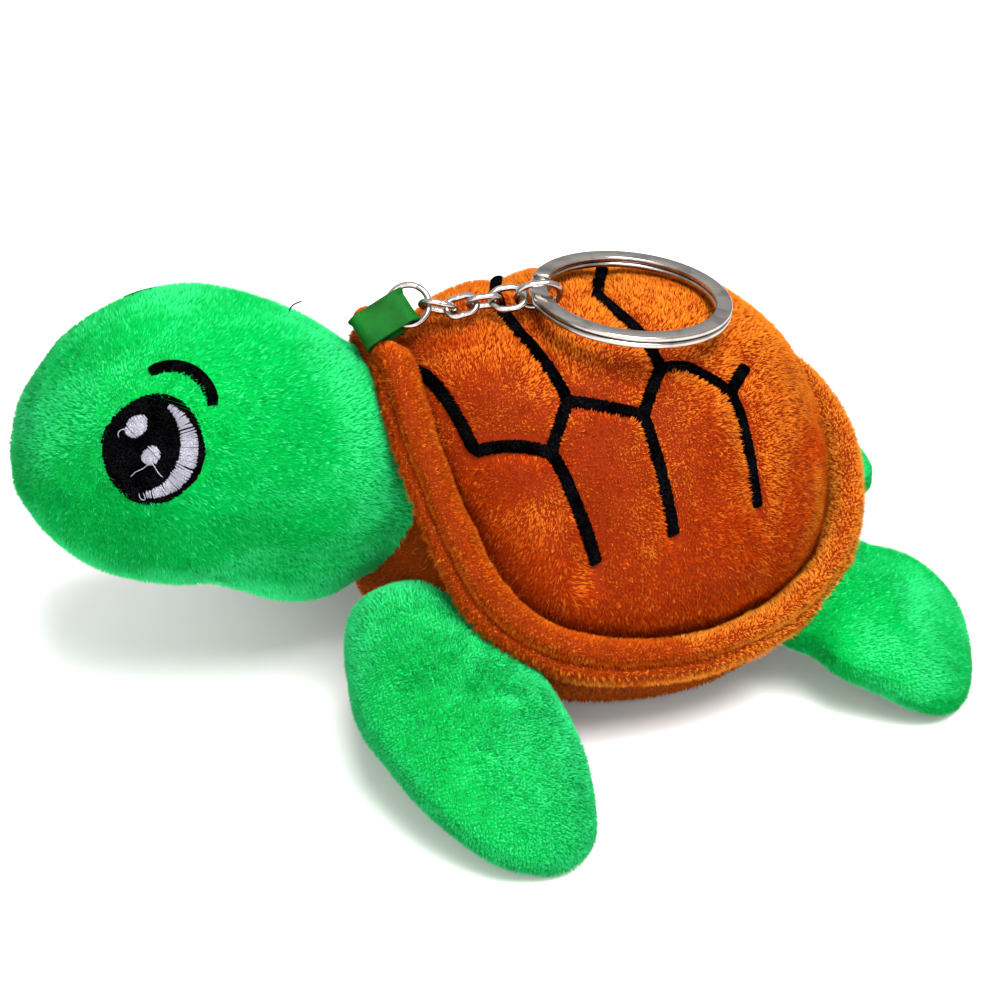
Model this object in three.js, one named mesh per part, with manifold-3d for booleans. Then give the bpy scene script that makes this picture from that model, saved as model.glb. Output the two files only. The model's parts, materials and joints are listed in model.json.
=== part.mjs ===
// Plush sea turtle with a key ring. Millimetres, +Z up, the head towards -Y.
// The origin is on the floor, under the middle of the whole toy.
import * as THREE from 'three';
import Module from 'manifold-3d';

const wasm = await Module();
wasm.setup();

// Seams, walls and fits
const seatGap = 0.3;
const plushWall = 1.5;
const floorTrim = 0.5;
const cutOverrun = 30;
const turnClear = 0.45;
const settlingRounds = 12;
const threadHeight = 0.7;

// Body: shell, belly and the filling inside them, measured from the middle of the shell
const bodyHeight = 57;
const bodyHalfWidth = 33;
const bodyHalfLength = 35;
const bodySides = 26;
// Height, half width, half length and forward shift, as shares of the three body sizes
const bodyShares = [
  [0.00, 0.50, 0.50, 0.02],
  [0.05, 0.70, 0.74, 0.04],
  [0.15, 0.85, 0.93, 0.08],
  [0.28, 0.94, 1.00, 0.12],
  [0.42, 1.00, 1.01, 0.10],
  [0.56, 0.97, 0.96, 0.08],
  [0.69, 0.88, 0.91, 0.10],
  [0.81, 0.74, 0.84, 0.14],
  [0.91, 0.54, 0.72, 0.19],
  [0.97, 0.32, 0.48, 0.18],
  [1.00, 0.06, 0.09, 0.14],
];
const widestShare = 0.42;
// Seam between shell and belly, as shares of the body height: from over the neck, down the left side
// to the tail, and back up the right side, which lies a little higher
const seamShares = [
  0.90, 0.87, 0.52, 0.34, 0.28, 0.27, 0.30, 0.40, 0.51,
  0.56, 0.50, 0.42, 0.38, 0.42, 0.56, 0.87, 0.90,
];

// Rim: a stuffed roll sewn into the seam, standing up round the shell
const rimHalfThick = 2.6;
const rimHalfTall = 3.7;
const rimLeanDegrees = 28;
const rimSetOut = 2.2;
const rimSides = 8;
const rimSteps = 40;

// Neck: the head's round root turns in a round seat in the body
const neckRadius = 13.5;
const neckHeight = 35;
const neckForward = 35;
const neckTiltDegrees = 14;
const neckNodDegrees = 7;
const neckFlareDegrees = 28;
const neckMouth = 9;
const neckSides = 18;
const rootArcSteps = 4;

// Head, from the neck joint to the snout
const headLength = 52;
const headHalfWidth = 21;
const headHalfTall = 21;
// Distance, half width, half height and lift, as shares of the head's length, half width and half height
const headShares = [
  [0.12, 0.77, 0.80, -0.04],
  [0.26, 0.88, 0.93, -0.01],
  [0.42, 0.96, 0.97, 0.05],
  [0.57, 1.00, 1.00, 0.03],
  [0.71, 0.96, 0.93, 0.00],
  [0.84, 0.81, 0.75, -0.04],
  [0.93, 0.59, 0.52, -0.09],
  [0.985, 0.31, 0.28, -0.15],
  [1.00, 0.08, 0.08, -0.16],
];

// Flippers: front and rear pairs. Angles are in plan, from straight ahead towards each side, and
// turns are towards the rear, for the left flipper and then the right one. A raised tip is held over the
// table by so much
const flipperSides = 12;
const flipperRootShare = 0.72;
const flipperFlareDegrees = 22;
const flipperMouthShare = 0.6;
const flipperLiftDegrees = 12;
// Distance along the middle line, half width and half thickness, as shares of the flipper's own sizes
const flipperShares = [
  [0.14, 0.86, 1.00],
  [0.30, 0.97, 1.00],
  [0.48, 1.00, 1.00],
  [0.66, 0.97, 0.94],
  [0.81, 0.84, 0.80],
  [0.92, 0.60, 0.58],
  [0.98, 0.32, 0.32],
  [1.00, 0.08, 0.08],
];
const frontFlipper = {
  pair: 'front', rootDegrees: 36, rootHeight: 18, setOut: 1.6, turnDegrees: [42, 36], raised: [0, 0],
  length: 38, sweep: 21, bend: 18, drop: 9, halfWidth: 13.9, halfThick: 7,
};
const rearFlipper = {
  pair: 'rear', rootDegrees: 148, rootHeight: 12.5, setOut: 1.6, turnDegrees: [-11, -5], raised: [0, 6],
  length: 24.5, sweep: 3, bend: 13, drop: 7, halfWidth: 12.7, halfThick: 6.3,
};

// Raised stitching on the shell. Points are shares of the body's half width and half length
const stitchWidth = 1.7;
const stitchCutSides = 8;
const stitchHalfShares = [
  [[0.15, -0.87], [0.54, -0.72], [0.68, -0.45], [0.82, -0.38], [0.91, -0.33]],
  [[0.68, -0.45], [0.55, -0.35], [0.18, -0.46], [0.00, -0.48]],
  [[0.55, -0.35], [0.64, -0.07], [0.76, -0.05], [0.92, -0.02]],
  [[0.64, -0.07], [0.46, 0.05], [0.31, 0.03], [0.15, -0.03], [0.00, -0.08]],
  [[0.46, 0.05], [0.45, 0.16], [0.53, 0.32], [0.60, 0.34], [0.73, 0.35], [0.80, 0.36]],
  [[0.53, 0.32], [0.40, 0.42]],
];

// Eyes and brows, on each side of the head. Places are measured along and up from the neck joint
const eyeAlong = 27.7;
const eyeUp = -0.7;
const eyeYawDegrees = 62;
const eyePitchDegrees = 22;
const eyeHalfWide = 6.9;
const eyeHalfTall = 7.15;
const eyeSides = 18;
const eyeReach = 30;
const browBehind = 0.4;
const browAbove = 5.6;
const browRadius = 5.65;
const browHalfThick = 0.8;
const browFromDegrees = 24;
const browToDegrees = 137;
const browSteps = 8;
const shineGap = 0.35;
const upperDotRadius = 1.55;
const lowerDotRadius = 1.3;
const upperDotShares = [0.39, 0.31];
const lowerDotShares = [-0.03, -0.10];
const crescentFromDegrees = -77;
const crescentToDegrees = 83;
const crescentOuterShare = 0.88;
const crescentInnerShares = [0.71, 0.82];
const crescentSetShare = 0.22;
const crescentSteps = 8;

// Ribbon loop sewn in at the top of the neck
const ribbonWidth = 4.4;
const ribbonThick = 0.6;
const ribbonLoopHalf = 1.7;
const ribbonLength = 8.6;
const ribbonBendSteps = 5;
const ribbonAside = 1.5;
const ribbonBeforeSeam = 3.4;
const ribbonOverSeam = 4.0;
const ribbonSlopeDegrees = 27;
const ribbonYawDegrees = -4;
const ribbonRollDegrees = 44;

// Chain and split ring, laid back over the shell
const wireRadius = 0.4;
const wireSides = 6;
const linkSteps = 18;
const linkGap = 0.32;
const jumpRingRadius = 2.9;
const jumpRingSeat = 5.3;
const chainHover = 3.7;
const chainAim = [6, 0];
const ringSlack = 1.15;
const linkTurnDegrees = 83;
const firstLinkHalfLength = 2.8;
const firstLinkHalfWidth = 2.3;
const smallLinkHalfLength = 2.55;
const smallLinkHalfWidth = 1.75;
const roundLinkHalfLength = 2.75;
const roundLinkHalfWidth = 2.2;
const endLinkHalfLength = 3.4;
const endLinkHalfWidth = 2.7;
const splitRingRadius = 13.0;
const splitRingHalfWide = 1.15;
const splitRingLayer = 0.75;
const splitRingSteps = 28;
const splitRingHover = 2.4;
const splitRingSteepDegrees = 35;
const splitRingStepDegrees = 0.5;

const radians = THREE.MathUtils.degToRad;

// A closed solid through rings of points. A looped solid joins its last ring to its first
function solidFromRings(rings, looped) {
  const sides = rings[0].length;
  const points = rings.flat();
  const corners = [];
  const bands = looped ? rings.length : rings.length - 1;
  for (let band = 0; band < bands; band += 1) {
    const low = band * sides;
    const high = ((band + 1) % rings.length) * sides;
    for (let side = 0; side < sides; side += 1) {
      const next = (side + 1) % sides;
      corners.push(low + side, low + next, high + next);
      corners.push(low + side, high + next, high + side);
    }
  }
  if (!looped) {
    const first = middleOf(rings[0]);
    const last = middleOf(rings[rings.length - 1]);
    const start = (rings.length - 1) * sides;
    points.push(first, last);
    for (let side = 0; side < sides; side += 1) {
      const next = (side + 1) % sides;
      corners.push(points.length - 2, next, side);
      corners.push(points.length - 1, start + side, start + next);
    }
  }
  const geometry = new THREE.BufferGeometry().setFromPoints(points);
  geometry.setIndex(facesOut(points, corners));
  return geometry;
}

function middleOf(ring) {
  const middle = new THREE.Vector3();
  ring.forEach((point) => middle.add(point));
  return middle.divideScalar(ring.length);
}

// Turns every face over if the solid's volume comes out negative
function facesOut(points, corners) {
  let volume = 0;
  const cross = new THREE.Vector3();
  for (let i = 0; i < corners.length; i += 3) {
    cross.crossVectors(points[corners[i + 1]], points[corners[i + 2]]);
    volume += points[corners[i]].dot(cross);
  }
  return volume < 0 ? corners.reverse() : corners;
}

function toSolid(geometry) {
  const mesh = new wasm.Mesh({
    numProp: 3,
    vertProperties: new Float32Array(geometry.attributes.position.array),
    triVerts: new Uint32Array(geometry.index.array),
  });
  return new wasm.Manifold(mesh);
}

function toGeometry(solid) {
  const mesh = solid.getMesh();
  const geometry = new THREE.BufferGeometry();
  geometry.setAttribute('position', new THREE.BufferAttribute(new Float32Array(mesh.vertProperties), 3));
  geometry.setIndex(new THREE.BufferAttribute(new Uint32Array(mesh.triVerts), 1));
  return geometry;
}

function moved(geometry, matrix) {
  return geometry.clone().applyMatrix4(matrix);
}

function placing(position, rotation) {
  const turn = new THREE.Quaternion().setFromEuler(rotation);
  return new THREE.Matrix4().compose(position, turn, new THREE.Vector3(1, 1, 1));
}

// An elliptical ring of points round a middle, in the plane of two unit directions
function ellipse(middle, wide, tall, halfWide, halfTall, sides) {
  const ring = [];
  for (let side = 0; side < sides; side += 1) {
    const angle = (side / sides) * Math.PI * 2;
    const point = middle.clone();
    point.addScaledVector(wide, halfWide * Math.cos(angle));
    point.addScaledVector(tall, halfTall * Math.sin(angle));
    ring.push(point);
  }
  return ring;
}

const right = new THREE.Vector3(1, 0, 0);
const back = new THREE.Vector3(0, 1, 0);
const up = new THREE.Vector3(0, 0, 1);

// The body's outline at a height: half width, half length and the middle's place along Y
function bodyOutline(height, inset) {
  const shares = (height + floorTrim) / (bodyHeight + floorTrim);
  let row = 1;
  while (row < bodyShares.length - 1 && bodyShares[row][0] < shares) row += 1;
  const [lowHeight, ...low] = bodyShares[row - 1];
  const [highHeight, ...high] = bodyShares[row];
  const between = THREE.MathUtils.clamp((shares - lowHeight) / (highHeight - lowHeight), 0, 1);
  const mixed = low.map((value, i) => THREE.MathUtils.lerp(value, high[i], between));
  return [
    Math.max(mixed[0] * bodyHalfWidth - inset, seatGap),
    Math.max(mixed[1] * bodyHalfLength - inset, seatGap),
    -mixed[2] * bodyHalfLength,
  ];
}

function bodyForm(inset) {
  const rings = bodyShares.map(([share]) => {
    const height = share * (bodyHeight + floorTrim) - floorTrim;
    const [halfWidth, halfLength, middleY] = bodyOutline(height, inset);
    const low = inset - floorTrim;
    const lifted = THREE.MathUtils.mapLinear(height, -floorTrim, bodyHeight, low, bodyHeight - inset);
    return ellipse(new THREE.Vector3(0, middleY, lifted), right, back, halfWidth, halfLength, bodySides);
  });
  return toSolid(solidFromRings(rings, false));
}

const seamCurve = new THREE.SplineCurve(
  seamShares.map((share, i) => new THREE.Vector2(i / (seamShares.length - 1), share)),
);

// A point of the seam, for an angle from straight ahead
function seamPoint(angle, setOut) {
  const turn = angle / (Math.PI * 2);
  const height = seamCurve.getPoint(turn - Math.floor(turn)).y * bodyHeight;
  const [halfWidth, halfLength, middleY] = bodyOutline(height, -setOut);
  return new THREE.Vector3(halfWidth * Math.sin(angle), middleY - halfLength * Math.cos(angle), height);
}

// Everything under the seam, lowered by a distance, to part the belly from the shell
function belowSeam(lowered) {
  const reach = bodyHalfWidth + bodyHalfLength;
  const top = [];
  const bottom = [];
  for (let step = 0; step < rimSteps; step += 1) {
    const seam = seamPoint((step / rimSteps) * Math.PI * 2, 0);
    const outward = new THREE.Vector3(seam.x, seam.y, 0).normalize().multiplyScalar(reach);
    top.push(new THREE.Vector3(outward.x, outward.y, seam.z - lowered));
    bottom.push(new THREE.Vector3(outward.x, outward.y, -cutOverrun));
  }
  return toSolid(solidFromRings([bottom, top], false));
}

function floorBlock() {
  const reach = (bodyHalfLength + headLength + frontFlipper.length) * 2;
  const block = new THREE.BoxGeometry(reach, reach, cutOverrun);
  block.translate(0, 0, -cutOverrun / 2);
  return boxSolid(block);
}

// Three.js boxes repeat their corners, so the solid is made again from eight points
function boxSolid(block) {
  block.computeBoundingBox();
  const { min, max } = block.boundingBox;
  const ring = (z) => [
    new THREE.Vector3(min.x, min.y, z),
    new THREE.Vector3(max.x, min.y, z),
    new THREE.Vector3(max.x, max.y, z),
    new THREE.Vector3(min.x, max.y, z),
  ];
  return toSolid(solidFromRings([ring(min.z), ring(max.z)], false));
}

// A seat for a round root that turns: a ball behind the joint and a flared mouth in front of it, along +X
function seatTool(radius, halfSpan, flareDegrees, turnDegrees, reach, sides, arcSteps) {
  const ball = radius + turnClear;
  const behind = ball * Math.sin(radians(turnDegrees));
  const rings = [];
  const stretch = (halfSpan + turnClear) / ball;
  const arcEnd = Math.PI / 2 - radians(turnDegrees);
  for (let step = 1; step <= arcSteps; step += 1) {
    const angle = (step / arcSteps) * arcEnd;
    const round = ball * Math.sin(angle);
    rings.push([-ball * Math.cos(angle), round]);
  }
  rings.push([reach, ball + (reach + behind) * Math.tan(radians(flareDegrees))]);
  return solidFromRings(rings.map(([along, round]) => (
    ellipse(new THREE.Vector3(along, 0, 0), back, up, round * stretch, round, sides)
  )), false);
}

// Head, in its own frame: the neck joint at the origin, the snout along +X before placing
function headForm(inset) {
  const radius = neckRadius - inset;
  const rings = [];
  for (let step = 1; step <= rootArcSteps; step += 1) {
    const angle = (step / (rootArcSteps + 1)) * (Math.PI / 2);
    const round = radius * Math.sin(angle);
    const middle = new THREE.Vector3(-radius * Math.cos(angle), 0, 0);
    rings.push(ellipse(middle, back, up, round, round, neckSides));
  }
  rings.push(ellipse(new THREE.Vector3(), back, up, radius, radius, neckSides));
  headShares.forEach(([along, wide, tall, lift]) => {
    const middle = new THREE.Vector3(along * (headLength - inset), 0, lift * headHalfTall);
    const halfWide = Math.max(wide * headHalfWidth - inset, seatGap);
    const halfTall = Math.max(tall * headHalfTall - inset, seatGap);
    rings.push(ellipse(middle, back, up, halfWide, halfTall, neckSides));
  });
  return solidFromRings(rings, false);
}

const flipperBow = (plan) => new THREE.QuadraticBezierCurve3(
  new THREE.Vector3(),
  new THREE.Vector3(plan.bend, 0, 0),
  new THREE.Vector3(Math.sqrt(plan.length ** 2 - plan.sweep ** 2), plan.sweep, -plan.drop),
);

// Flipper, in its own frame: the joint at the origin, outward along +X, the rear of the toy towards +Y
function flipperForm(plan, inset) {
  const rootHalfWidth = flipperRootShare * plan.halfWidth - inset;
  const radius = plan.halfThick - inset;
  const rings = [];
  for (let step = 1; step <= rootArcSteps; step += 1) {
    const angle = (step / (rootArcSteps + 1)) * (Math.PI / 2);
    const middle = new THREE.Vector3(-radius * Math.cos(angle), 0, 0);
    const round = Math.sin(angle);
    rings.push(ellipse(middle, back, up, rootHalfWidth * round, radius * round, flipperSides));
  }
  rings.push(ellipse(new THREE.Vector3(), back, up, rootHalfWidth, radius, flipperSides));
  const bow = flipperBow(plan);
  flipperShares.forEach(([along, wide, thick]) => {
    const middle = bow.getPointAt(along * (1 - inset / plan.length));
    const ahead = bow.getTangentAt(along).setZ(0).normalize();
    const across = new THREE.Vector3().crossVectors(up, ahead);
    const halfWide = Math.max(wide * plan.halfWidth - inset, seatGap);
    const halfThick = Math.max(thick * plan.halfThick - inset, seatGap);
    rings.push(ellipse(middle, across, up, halfWide, halfThick, flipperSides));
  });
  return solidFromRings(rings, false);
}

// A tube round a closed line of points
function wireLoop(line, steps) {
  const rings = [];
  for (let step = 0; step < steps; step += 1) {
    const at = line(step / steps);
    const ahead = line((step + 0.5) / steps).sub(line((step - 0.5) / steps)).normalize();
    const side = new THREE.Vector3().crossVectors(up, ahead).normalize();
    const over = new THREE.Vector3().crossVectors(ahead, side);
    rings.push(ellipse(at, side, over, wireRadius, wireRadius, wireSides));
  }
  return solidFromRings(rings, true);
}

// A long link lying flat, with straight sides and round ends. Lengths are to its outer edge
function linkGeometry(halfLength, halfWidth) {
  const round = halfWidth - wireRadius;
  const straight = halfLength - halfWidth;
  const around = Math.PI * round * 2 + straight * 4;
  return wireLoop((share) => {
    let travel = (((share % 1) + 1) % 1) * around;
    const turn = Math.PI * round;
    if (travel < straight * 2) return new THREE.Vector3(straight - travel, round, 0);
    travel -= straight * 2;
    if (travel < turn) {
      const angle = Math.PI / 2 + travel / round;
      return new THREE.Vector3(-straight + round * Math.cos(angle), round * Math.sin(angle), 0);
    }
    travel -= turn;
    if (travel < straight * 2) return new THREE.Vector3(-straight + travel, -round, 0);
    travel -= straight * 2;
    const angle = -Math.PI / 2 + travel / round;
    return new THREE.Vector3(straight + round * Math.cos(angle), round * Math.sin(angle), 0);
  }, linkSteps);
}

// The split ring: two turns of flat spring wire, one over the other
function splitRingGeometry() {
  const rings = [];
  const turns = 2;
  const steps = splitRingSteps * turns;
  const pitch = splitRingLayer + seatGap;
  for (let step = 0; step <= steps; step += 1) {
    const angle = (step / splitRingSteps) * Math.PI * 2;
    const climb = ((step / steps) - 0.5) * pitch * turns;
    const outward = new THREE.Vector3(Math.cos(angle), Math.sin(angle), 0);
    const middle = outward.clone().multiplyScalar(splitRingRadius).addScaledVector(up, climb);
    rings.push([
      [-splitRingHalfWide, -splitRingLayer / 2],
      [splitRingHalfWide, -splitRingLayer / 2],
      [splitRingHalfWide, splitRingLayer / 2],
      [-splitRingHalfWide, splitRingLayer / 2],
    ].map(([out, over]) => middle.clone().addScaledVector(outward, out).addScaledVector(up, over)));
  }
  return solidFromRings(rings, false);
}

// Height of the shell's surface over a place in plan
function shellHeight(x, y) {
  let inside = widestShare * bodyHeight;
  let outside = bodyHeight;
  for (let tries = 0; tries < settlingRounds * 2; tries += 1) {
    const height = (inside + outside) / 2;
    const [halfWidth, halfLength, middleY] = bodyOutline(height, 0);
    const reach = Math.hypot(x / halfWidth, (y - middleY) / halfLength);
    if (reach < 1) inside = height;
    else outside = height;
  }
  return inside;
}

// A straight-sided solid whose outline lies across a direction, from a start point
function prism(start, across, tall, ahead, reach, outline) {
  const ring = outline.map(([wide, high]) => (
    start.clone().addScaledVector(across, wide).addScaledVector(tall, high)
  ));
  const far = ring.map((point) => point.clone().addScaledVector(ahead, reach));
  return toSolid(solidFromRings([ring, far], false));
}

function roundOutline(wide, high, halfWide, halfHigh, from, to, steps) {
  const outline = [];
  for (let step = 0; step <= steps; step += 1) {
    const angle = THREE.MathUtils.lerp(from, to, step / steps);
    outline.push([wide + halfWide * Math.cos(angle), high + halfHigh * Math.sin(angle)]);
  }
  return outline;
}

const wholeTurn = Math.PI * 2 * (1 - 1 / eyeSides);
const disc = (wide, high, halfWide, halfHigh) => (
  roundOutline(wide, high, halfWide, halfHigh, 0, wholeTurn, eyeSides - 1)
);

// Places of the head and flippers
const headPlace = placing(
  new THREE.Vector3(0, -neckForward, neckHeight),
  new THREE.Euler(0, -radians(neckTiltDegrees), -Math.PI / 2, 'ZYX'),
);

function flipperPlace(plan, side) {
  const angle = radians(plan.rootDegrees);
  const [halfWidth, halfLength, middleY] = bodyOutline(plan.rootHeight, -plan.setOut);
  const root = new THREE.Vector3(
    side * halfWidth * Math.sin(angle),
    middleY - halfLength * Math.cos(angle),
    plan.rootHeight,
  );
  const heading = side > 0 ? angle - Math.PI / 2 : -angle - Math.PI / 2;
  const turned = radians(plan.turnDegrees[side > 0 ? 0 : 1]);
  return placing(root, new THREE.Euler(0, 0, heading + side * turned));
}

// The same flipper for either side: the right one is the left one mirrored
function sided(geometry, side) {
  const points = geometry.attributes.position;
  const list = [];
  for (let i = 0; i < points.count; i += 1) {
    list.push(new THREE.Vector3(points.getX(i), side * points.getY(i), points.getZ(i)));
  }
  const mirrored = new THREE.BufferGeometry().setFromPoints(list);
  mirrored.setIndex(facesOut(list, Array.from(geometry.index.array)));
  return mirrored;
}

// The drop at which a flipper's underside reaches just below the floor, where it is cut flat
function settled(plan) {
  let { drop } = plan;
  for (let tries = 0; tries < settlingRounds; tries += 1) {
    const form = flipperForm({ ...plan, drop }, 0);
    form.computeBoundingBox();
    drop += plan.rootHeight + form.boundingBox.min.z + floorTrim;
  }
  return { ...plan, drop };
}

const flippers = [frontFlipper, rearFlipper].map(settled).flatMap((plan) => (
  [['left', 1], ['right', -1]].map(([word, side], index) => ({
    plan: { ...plan, drop: plan.drop - plan.raised[index] },
    side,
    name: `${plan.pair}_${word}_flipper`,
    place: flipperPlace(plan, side),
  }))
));

// The seats of the head and the four flippers, each larger than its root by a distance
function seatsFor(wider, neckSteps, flipperSteps) {
  const headSeat = seatTool(
    neckRadius + wider, neckRadius + wider, neckFlareDegrees, neckNodDegrees, neckRadius,
    neckSteps, rootArcSteps,
  );
  const seats = [toSolid(moved(headSeat, headPlace))];
  flippers.forEach(({ plan, place }) => {
    const seat = seatTool(
      plan.halfThick + wider, flipperRootShare * plan.halfWidth + wider, flipperFlareDegrees,
      flipperLiftDegrees, plan.halfThick * 2, flipperSteps, rootArcSteps,
    );
    seats.push(toSolid(moved(seat, place)));
  });
  return seats.reduce((all, seat) => all.add(seat));
}
const seats = seatsFor(0, neckSides, flipperSides);
const fillingSeats = seatsFor(plushWall, neckSides / 2, flipperSides / 2);
const floor = floorBlock();

const model = new THREE.Group();

function finish(color, roughness, metalness) {
  return new THREE.MeshStandardMaterial({ color, roughness, metalness });
}

function addPiece(name, geometry, material, parent = model) {
  const mesh = new THREE.Mesh(geometry, material);
  mesh.name = name;
  parent.add(mesh);
  return mesh;
}

function addFrame(name, place) {
  const frame = new THREE.Group();
  frame.name = name;
  frame.applyMatrix4(place);
  model.add(frame);
  return frame;
}

const greenPlush = () => finish(0x1fc25a, 0.9, 0);
const brownPlush = () => finish(0xb4551c, 0.9, 0);
const stuffing = () => finish(0xf2f0ea, 1, 0);
const blackThread = () => finish(0x111113, 0.6, 0);
const whiteThread = () => finish(0xf3f3f5, 0.5, 0);
const nickel = () => finish(0xc9c9cc, 0.25, 1);

// Body
const bodyOuter = bodyForm(0);
const bodySkin = bodyOuter.subtract(bodyForm(plushWall));
addPiece('shell_cover', toGeometry(bodySkin.subtract(belowSeam(0)).subtract(seats)), brownPlush());
addPiece(
  'belly_cover',
  toGeometry(bodySkin.intersect(belowSeam(seatGap)).subtract(seats).subtract(floor)),
  brownPlush(),
);
addPiece('body_filling', toGeometry(bodyForm(plushWall + seatGap).subtract(fillingSeats)), stuffing());

// Rim
function rimForm(grown) {
  const rings = [];
  const step = (Math.PI * 2) / rimSteps;
  for (let i = 0; i < rimSteps; i += 1) {
    const angle = i * step;
    const at = seamPoint(angle, rimSetOut);
    const ahead = seamPoint(angle + step, rimSetOut).sub(seamPoint(angle - step, rimSetOut)).normalize();
    const outward = new THREE.Vector3(Math.sin(angle), -Math.cos(angle), 0);
    outward.addScaledVector(ahead, -outward.dot(ahead)).normalize();
    const over = new THREE.Vector3().crossVectors(outward, ahead);
    if (over.z < 0) over.negate();
    const lean = radians(rimLeanDegrees);
    const tall = over.clone().multiplyScalar(Math.cos(lean)).addScaledVector(outward, Math.sin(lean));
    const thick = outward.clone().multiplyScalar(Math.cos(lean)).addScaledVector(over, -Math.sin(lean));
    rings.push(ellipse(at, thick, tall, rimHalfThick + grown, rimHalfTall + grown, rimSides));
  }
  return toSolid(solidFromRings(rings, true));
}

// Ribbon: one strip folded to a loop, both ends sewn into the seam over the neck
const ribbonPlace = placing(
  seamPoint(0, rimSetOut).add(new THREE.Vector3(ribbonAside, -ribbonBeforeSeam, ribbonOverSeam)),
  new THREE.Euler(
    radians(ribbonRollDegrees), -radians(ribbonSlopeDegrees), Math.PI / 2 - radians(ribbonYawDegrees), 'ZYX',
  ),
);

function ribbonLoop(grown) {
  const half = ribbonWidth / 2 + grown;
  const middleHalf = ribbonLoopHalf - ribbonThick / 2;
  const thick = ribbonThick / 2 + grown;
  const ends = [ribbonLoopHalf, ribbonLength - ribbonLoopHalf];
  const rings = [];
  ends.forEach((x, end) => {
    for (let step = 0; step <= ribbonBendSteps; step += 1) {
      const angle = Math.PI * (step / ribbonBendSteps + 0.5 + end);
      const outward = new THREE.Vector3(Math.cos(angle), 0, Math.sin(angle));
      const middle = new THREE.Vector3(x, 0, 0).addScaledVector(outward, middleHalf);
      rings.push([[-half, -thick], [half, -thick], [half, thick], [-half, thick]].map(([wide, out]) => (
        middle.clone().addScaledVector(back, wide).addScaledVector(outward, out)
      )));
    }
  });
  return solidFromRings(rings, true);
}

// The ribbon's whole outline, to leave room for it in the rim
function ribbonBlock(grown) {
  const half = ribbonWidth / 2 + grown;
  const outline = ribbonLoopOutline(grown);
  const start = new THREE.Vector3(0, -half, 0);
  return prism(start, right, up, back, half * 2, outline);
}

function ribbonLoopOutline(grown) {
  const round = ribbonLoopHalf + grown;
  const quarter = Math.PI / 2;
  return [
    ...roundOutline(ribbonLength - ribbonLoopHalf, 0, round, round, -quarter, quarter, ribbonBendSteps),
    ...roundOutline(ribbonLoopHalf, 0, round, round, quarter, quarter * 3, ribbonBendSteps),
  ];
}

const ribbonRoom = toSolid(moved(toGeometry(ribbonBlock(seatGap)), ribbonPlace));
addPiece(
  'shell_rim',
  toGeometry(rimForm(0).subtract(bodyForm(-seatGap)).subtract(seats).subtract(ribbonRoom)),
  brownPlush(),
);
const ribbon = addFrame('ribbon_frame', ribbonPlace);
addPiece('ribbon_loop', ribbonLoop(0), finish(0x0b7d2a, 0.5, 0), ribbon);

// Raised stitching: the pattern's upright walls, kept only in a thin layer over the shell
function stitchWall(from, to) {
  const ahead = new THREE.Vector3().subVectors(to, from);
  const length = ahead.length();
  ahead.normalize();
  const side = new THREE.Vector3().crossVectors(up, ahead);
  const half = stitchWidth / 2;
  const turn = Math.PI / 2;
  const outline = [
    ...roundOutline(0, length, half, half, 0, Math.PI, stitchCutSides / 2),
    ...roundOutline(0, 0, half, half, Math.PI, Math.PI + turn * 2, stitchCutSides / 2),
  ];
  return prism(from, side, ahead, up, bodyHeight, outline);
}

function stitchPattern() {
  const lines = stitchHalfShares.flatMap((line) => [line, line.map(([x, y]) => [-x, y])]);
  const low = bodyHeight * widestShare;
  const walls = [];
  lines.forEach((line) => {
    const points = line.map(([x, y]) => new THREE.Vector3(x * bodyHalfWidth, y * bodyHalfLength, low));
    for (let i = 1; i < points.length; i += 1) walls.push(stitchWall(points[i - 1], points[i]));
  });
  return walls.reduce((all, wall) => all.add(wall));
}
const threadLayer = bodyForm(-seatGap - threadHeight).subtract(bodyForm(-seatGap));
addPiece(
  'shell_stitching',
  toGeometry(threadLayer.intersect(stitchPattern()).subtract(rimForm(seatGap))),
  blackThread(),
);

// A stuffed skin, open where it is sewn on
function openSkin(outer, cavity, radius, halfSpan) {
  const mouth = prism(
    new THREE.Vector3(-radius * 2, 0, 0), back, up, right, radius * 2,
    disc(0, 0, halfSpan, radius),
  );
  return outer.subtract(cavity.add(mouth));
}

// Head
const head = addFrame('head_joint', headPlace);
const headSkin = openSkin(toSolid(headForm(0)), toSolid(headForm(plushWall)), neckMouth, neckMouth);
addPiece('head_cover', toGeometry(headSkin), greenPlush(), head);
addPiece('head_filling', headForm(plushWall + seatGap), stuffing(), head);

const faceLayer = toSolid(headForm(-seatGap - threadHeight)).subtract(toSolid(headForm(-seatGap)));

function facePrism(side, along, lift, outline) {
  const yaw = radians(eyeYawDegrees);
  const pitch = radians(eyePitchDegrees);
  const forward = new THREE.Vector3(Math.sin(yaw), -side * Math.cos(yaw), 0);
  const level = new THREE.Vector3(Math.cos(yaw), side * Math.sin(yaw), 0);
  const ahead = level.clone().multiplyScalar(Math.cos(pitch)).addScaledVector(up, Math.sin(pitch));
  const tall = up.clone().multiplyScalar(Math.cos(pitch)).addScaledVector(level, -Math.sin(pitch));
  const start = new THREE.Vector3(eyeAlong, 0, eyeUp);
  start.addScaledVector(forward, along).addScaledVector(tall, lift);
  return prism(start, forward, tall, ahead, eyeReach, outline);
}

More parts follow.
